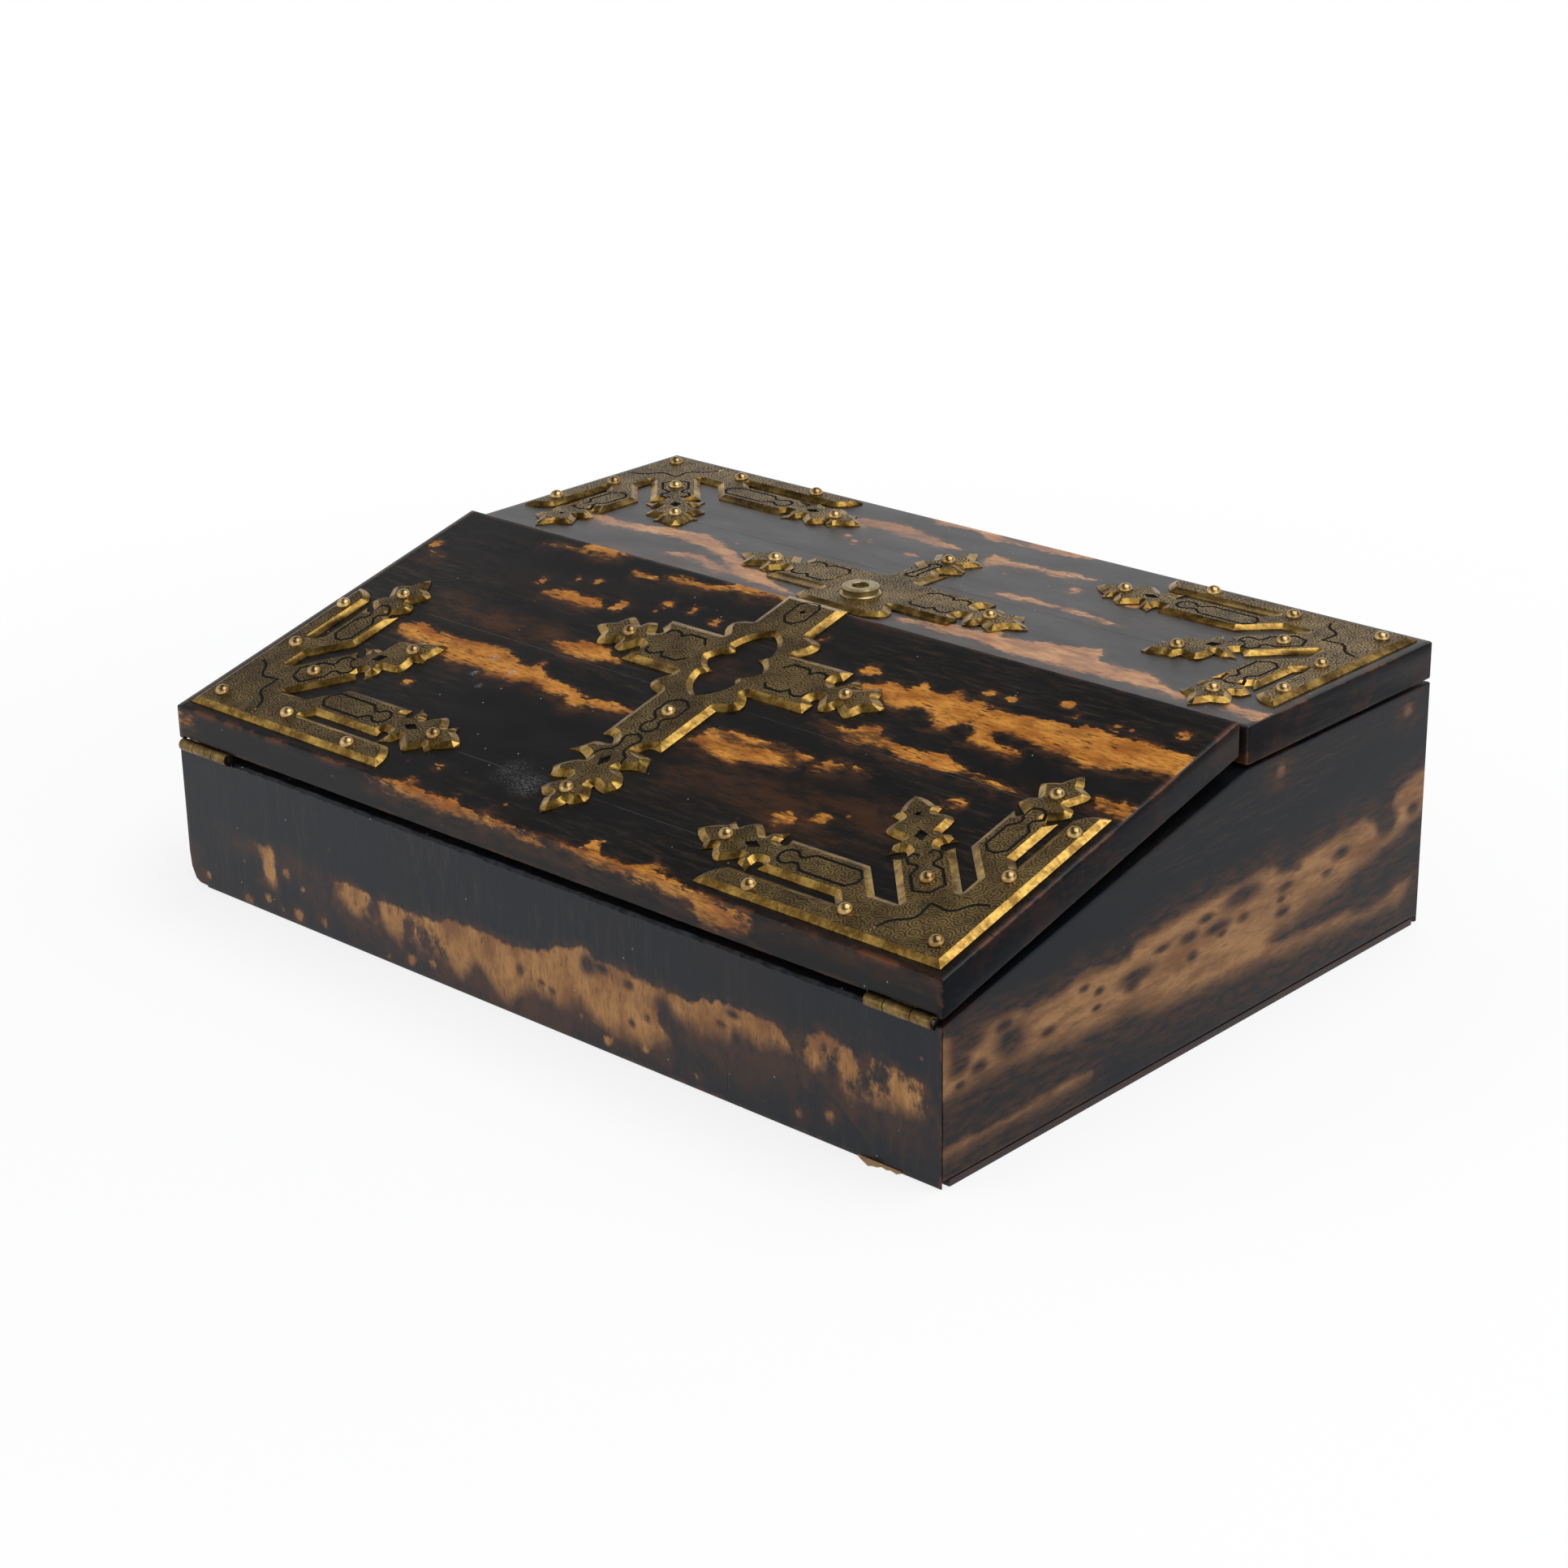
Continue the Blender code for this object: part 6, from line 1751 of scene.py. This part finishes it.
def ridge_tree():
    tree, given = new_tree("milled_rim", Count="Int", Radius="Float", Width="Float", Height="Float",
                           Finish="Material")
    ring = step(tree, "MeshCircle", {"Vertices": given["Count"], "Radius": given["Radius"]})
    tooth = step(tree, "MeshCylinder", {"Vertices": 8, "Radius": given["Width"], "Depth": given["Height"]})
    rim = step(tree, "InstanceOnPoints", {"Points": ring, "Instance": tooth})
    copies = step(tree, "InstanceOnPoints", {"Points": given["Geometry"], "Instance": rim})
    end_tree(tree, copies, given["Finish"])
    return tree


low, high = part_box("lock_nozzle")
lock_x, lock_y = (low[0] + high[0]) / 2, (low[1] + high[1]) / 2
foot, crown = lid_top + plate_top * MM + 0.01 * MM, high[2]
collar_profile = [
    (3.0, 0), (7.3, 0), (7.3, 0.45), (6.95, 0.8), (6.35, 0.95), (6.35, 2.2), (6.5, 2.35), (6.5, 2.8),
    (6.3, 3.1), (5.6, 3.18), (5.45, 3.05), (5.3, 3.18), (3.35, 3.22), (3.0, 3.0)
]
collar_high, milling_high = 3.22, 2.58
share = (crown - foot) / (collar_high * MM)
collar = to_mesh(turned([(r * MM, foot + z * MM * share) for r, z in collar_profile], (lock_x, lock_y)),
                 "lock_nozzle_turned", brass_collar)
piece("lock_nozzle_turned", collar, "lid", "polished_brass", "lock_nozzle")
milling = {"Count": 64, "Radius": 6.5 * MM, "Width": 0.2 * MM, "Height": 0.5 * MM, "Finish": brass_collar}
rim_middle = (lock_x, lock_y, foot + milling_high * MM * share)
teeth = grown("lock_nozzle_milling", [rim_middle], ridge_tree(), milling)
piece("lock_nozzle_milling", teeth, "lid", "polished_brass")

# %% [markdown]
# Two more finishes are needed inside. The bolt and the pins are grey steel. The writing surface is green
# leather with a fine grain, and two gilt lines run round it at set distances from its edges.

# %% Finishes inside
def steel_finish():
    made, tree, shader = new_finish("old_steel")
    age = cloudy(tree, in_object(tree), 300, 4, 0.6)
    shade = blended(tree, age, colour(0.16, 0.15, 0.14), colour(0.42, 0.41, 0.40))
    fill(tree, shader, {"Base Color": shade, "Metallic": 1.0, "Roughness": scaled(tree, age, 0.3, 0.2)})
    return made


def gilt_leather():
    made, tree, shader = new_finish("gilt_leather")
    where = in_object(tree)
    part = add(tree, "SeparateXYZ", {0: where}).outputs
    low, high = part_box("writing_surface")
    side = minus(tree, high[0], sums(tree, "ABSOLUTE", part["X"]))
    end = sums(tree, "MINIMUM", minus(tree, part["Y"], low[1]), minus(tree, high[1], part["Y"]))
    inset = sums(tree, "MINIMUM", side, end)
    lines = [eased(tree, sums(tree, "ABSOLUTE", minus(tree, inset, place * MM)), outer * MM, inner * MM)
             for place, outer, inner in ((7.5, 0.9, 0.6), (10.2, 0.4, 0.2))]
    gilt = sums(tree, "MAXIMUM", *lines)
    gilt = times(tree, gilt, eased(tree, cloudy(tree, where, 260, 3, 0.6), 0.3, 0.5))
    age = cloudy(tree, where, 38, 4, 0.6)
    greens = colour(0.018, 0.045, 0.022), colour(0.05, 0.085, 0.04)
    hide = blended(tree, eased(tree, age, 0.3, 0.75), *greens)
    fill(tree, shader, {"Base Color": blended(tree, gilt, hide, colour(0.55, 0.38, 0.13)),
                        "Metallic": times(tree, gilt, 0.9), "Roughness": scaled(tree, age, 0.25, 0.38)})
    grain = add(tree, "TexVoronoi", {"Vector": where, "Scale": 900.0}).outputs["Distance"]
    roughen(tree, shader, grain, 0.35, 0.2 * MM)
    return made


steel = steel_finish()
leather = gilt_leather()
print("inside finishes:", [m.name for m in (steel, leather)])

# %% [markdown]
# The pieces that show less keep the shape of their solids. Real edges are never razor sharp, so each is
# copied, its flat faces are joined up again and every sharp edge gets a small bevel. The hinge leaves and
# most of the lock are old brass. The steel pins stay as they are and only get their finish.

# %% Softened copies of the solids
def body_of(name):
    return frame["nodes"][name].parent.name.split(":")[1]


def softened(name, material, width, slot):
    source = frame["nodes"][name]
    bm = bmesh.new()
    bm.from_mesh(source.data)
    bm.transform(source.matrix_world)
    bmesh.ops.remove_doubles(bm, verts=bm.verts, dist=1e-6)
    bmesh.ops.dissolve_limit(bm, angle_limit=math.radians(0.6), verts=bm.verts[:], edges=bm.edges[:])
    sharp = [e for e in bm.edges if e.is_manifold and e.calc_face_angle() > math.radians(40)]
    bmesh.ops.bevel(bm, geom=sharp, offset=width, segments=2, profile=0.7, affect="EDGES",
                    clamp_overlap=True)
    piece(name + "_softened", to_mesh(bm, name + "_softened", material), body_of(name), slot, name)


softened("base_board", base_wood, 0.3 * MM, "base_wood")
for name in ("floor_board", "partition", "pen_tray", "left_cross_divider", "right_cross_divider"):
    softened(name, fitting_wood, 0.4 * MM, "inside_wood")
for name in ("left_divider", "right_divider"):
    softened(name, upright_wood, 0.4 * MM, "inside_wood")
softened("writing_surface", leather, 0.25 * MM, "green_leather")
for name in hinge_names:
    softened(name + "_fixed_leaf", brass_hinge, 0.1 * MM, "polished_brass")
    softened(name + "_moving_leaf", brass_hinge, 0.1 * MM, "polished_brass")
for name in ("lock_case", "lock_cover", "lock_keeper", "lock_barrel"):
    softened(name, brass_hinge, 0.1 * MM, "polished_brass")
for side in ("left", "right"):
    softened("ink_collar_" + side, brass_collar, 0.15 * MM, "polished_brass")
    softened("ink_cap_" + side, brass_collar, 0.3 * MM, "polished_brass")
softened("lock_bolt", steel, 0.15 * MM, "steel")
for name in [n + "_pin" for n in hinge_names] + ["ink_cap_pin_left", "ink_cap_pin_right"]:
    for held in frame["nodes"][name].material_slots:
        held.material = steel

# %% [markdown]
# The two ink bottles are blown into a square mould: rounded corners, a round neck and a round well. Glass
# is a clear shader with a slight green tint. The ink is a piece of its own in the well, and it stops just
# short of the glass.

# %% Ink bottles
neck_radius, neck_high, neck_deep, corner_round = 11.5 * MM, 6 * MM, 3 * MM, 2.5 * MM
well_floor, well_narrow, well_wide, well_turn = 4 * MM, 7.0 * MM, 8.5 * MM, 2 * MM
ink_gap, ink_high = 0.1 * MM, 11 * MM


def glass_finish():
    made, tree, shader = new_finish("bottle_glass")
    fill(tree, shader, {"Base Color": colour(0.86, 0.94, 0.90), "Transmission Weight": 1.0, "IOR": 1.5,
                        "Roughness": times(tree, cloudy(tree, in_object(tree), 90, 2), 0.1)})
    return made


def ink_finish():
    made, tree, shader = new_finish("dried_ink")
    crust = cloudy(tree, in_object(tree), 200)
    shade = blended(tree, crust, colour(0.004, 0.005, 0.012), colour(0.02, 0.02, 0.035))
    fill(tree, shader, {"Base Color": shade, "Roughness": 0.15})
    return made


def well(centre, floor_z, rim_z, gap):
    """The round form of the well, smaller by a gap at its side and its foot."""
    narrow, wide, foot_z = well_narrow - gap, well_wide - gap, floor_z + gap
    profile = [(0, foot_z), (narrow, foot_z), (wide, foot_z + well_turn), (wide, rim_z), (0, rim_z)]
    return turned(profile, centre)


glass, ink = glass_finish(), ink_finish()
for side in ("left", "right"):
    low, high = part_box("ink_bottle_" + side)
    centre = ((low[0] + high[0]) / 2, (low[1] + high[1]) / 2)
    shoulder, top, floor_z = high[2] - neck_high, high[2], low[2] + well_floor
    outer = cuboid(low, (high[0], high[1], shoulder))
    bmesh.ops.bevel(outer, geom=outer.edges[:], offset=corner_round, segments=5, profile=0.5,
                    affect="EDGES")
    neck_low = shoulder - neck_deep
    neck = turned([(neck_radius, neck_low), (neck_radius, top), (0, top), (0, neck_low)], centre)
    bottle = carved(to_mesh(outer, "ink_bottle", glass), [neck], "UNION")
    bottle = shaded(carved(bottle, [well(centre, floor_z, top + MM, gap=0.0)]))
    piece(f"ink_bottle_{side}_blown", bottle, "carcase", "clear_glass", "ink_bottle_" + side)
    pool = well(centre, floor_z, floor_z + ink_high, ink_gap)
    piece(f"ink_{side}", to_mesh(pool, "ink", ink), "carcase", "clear_glass")
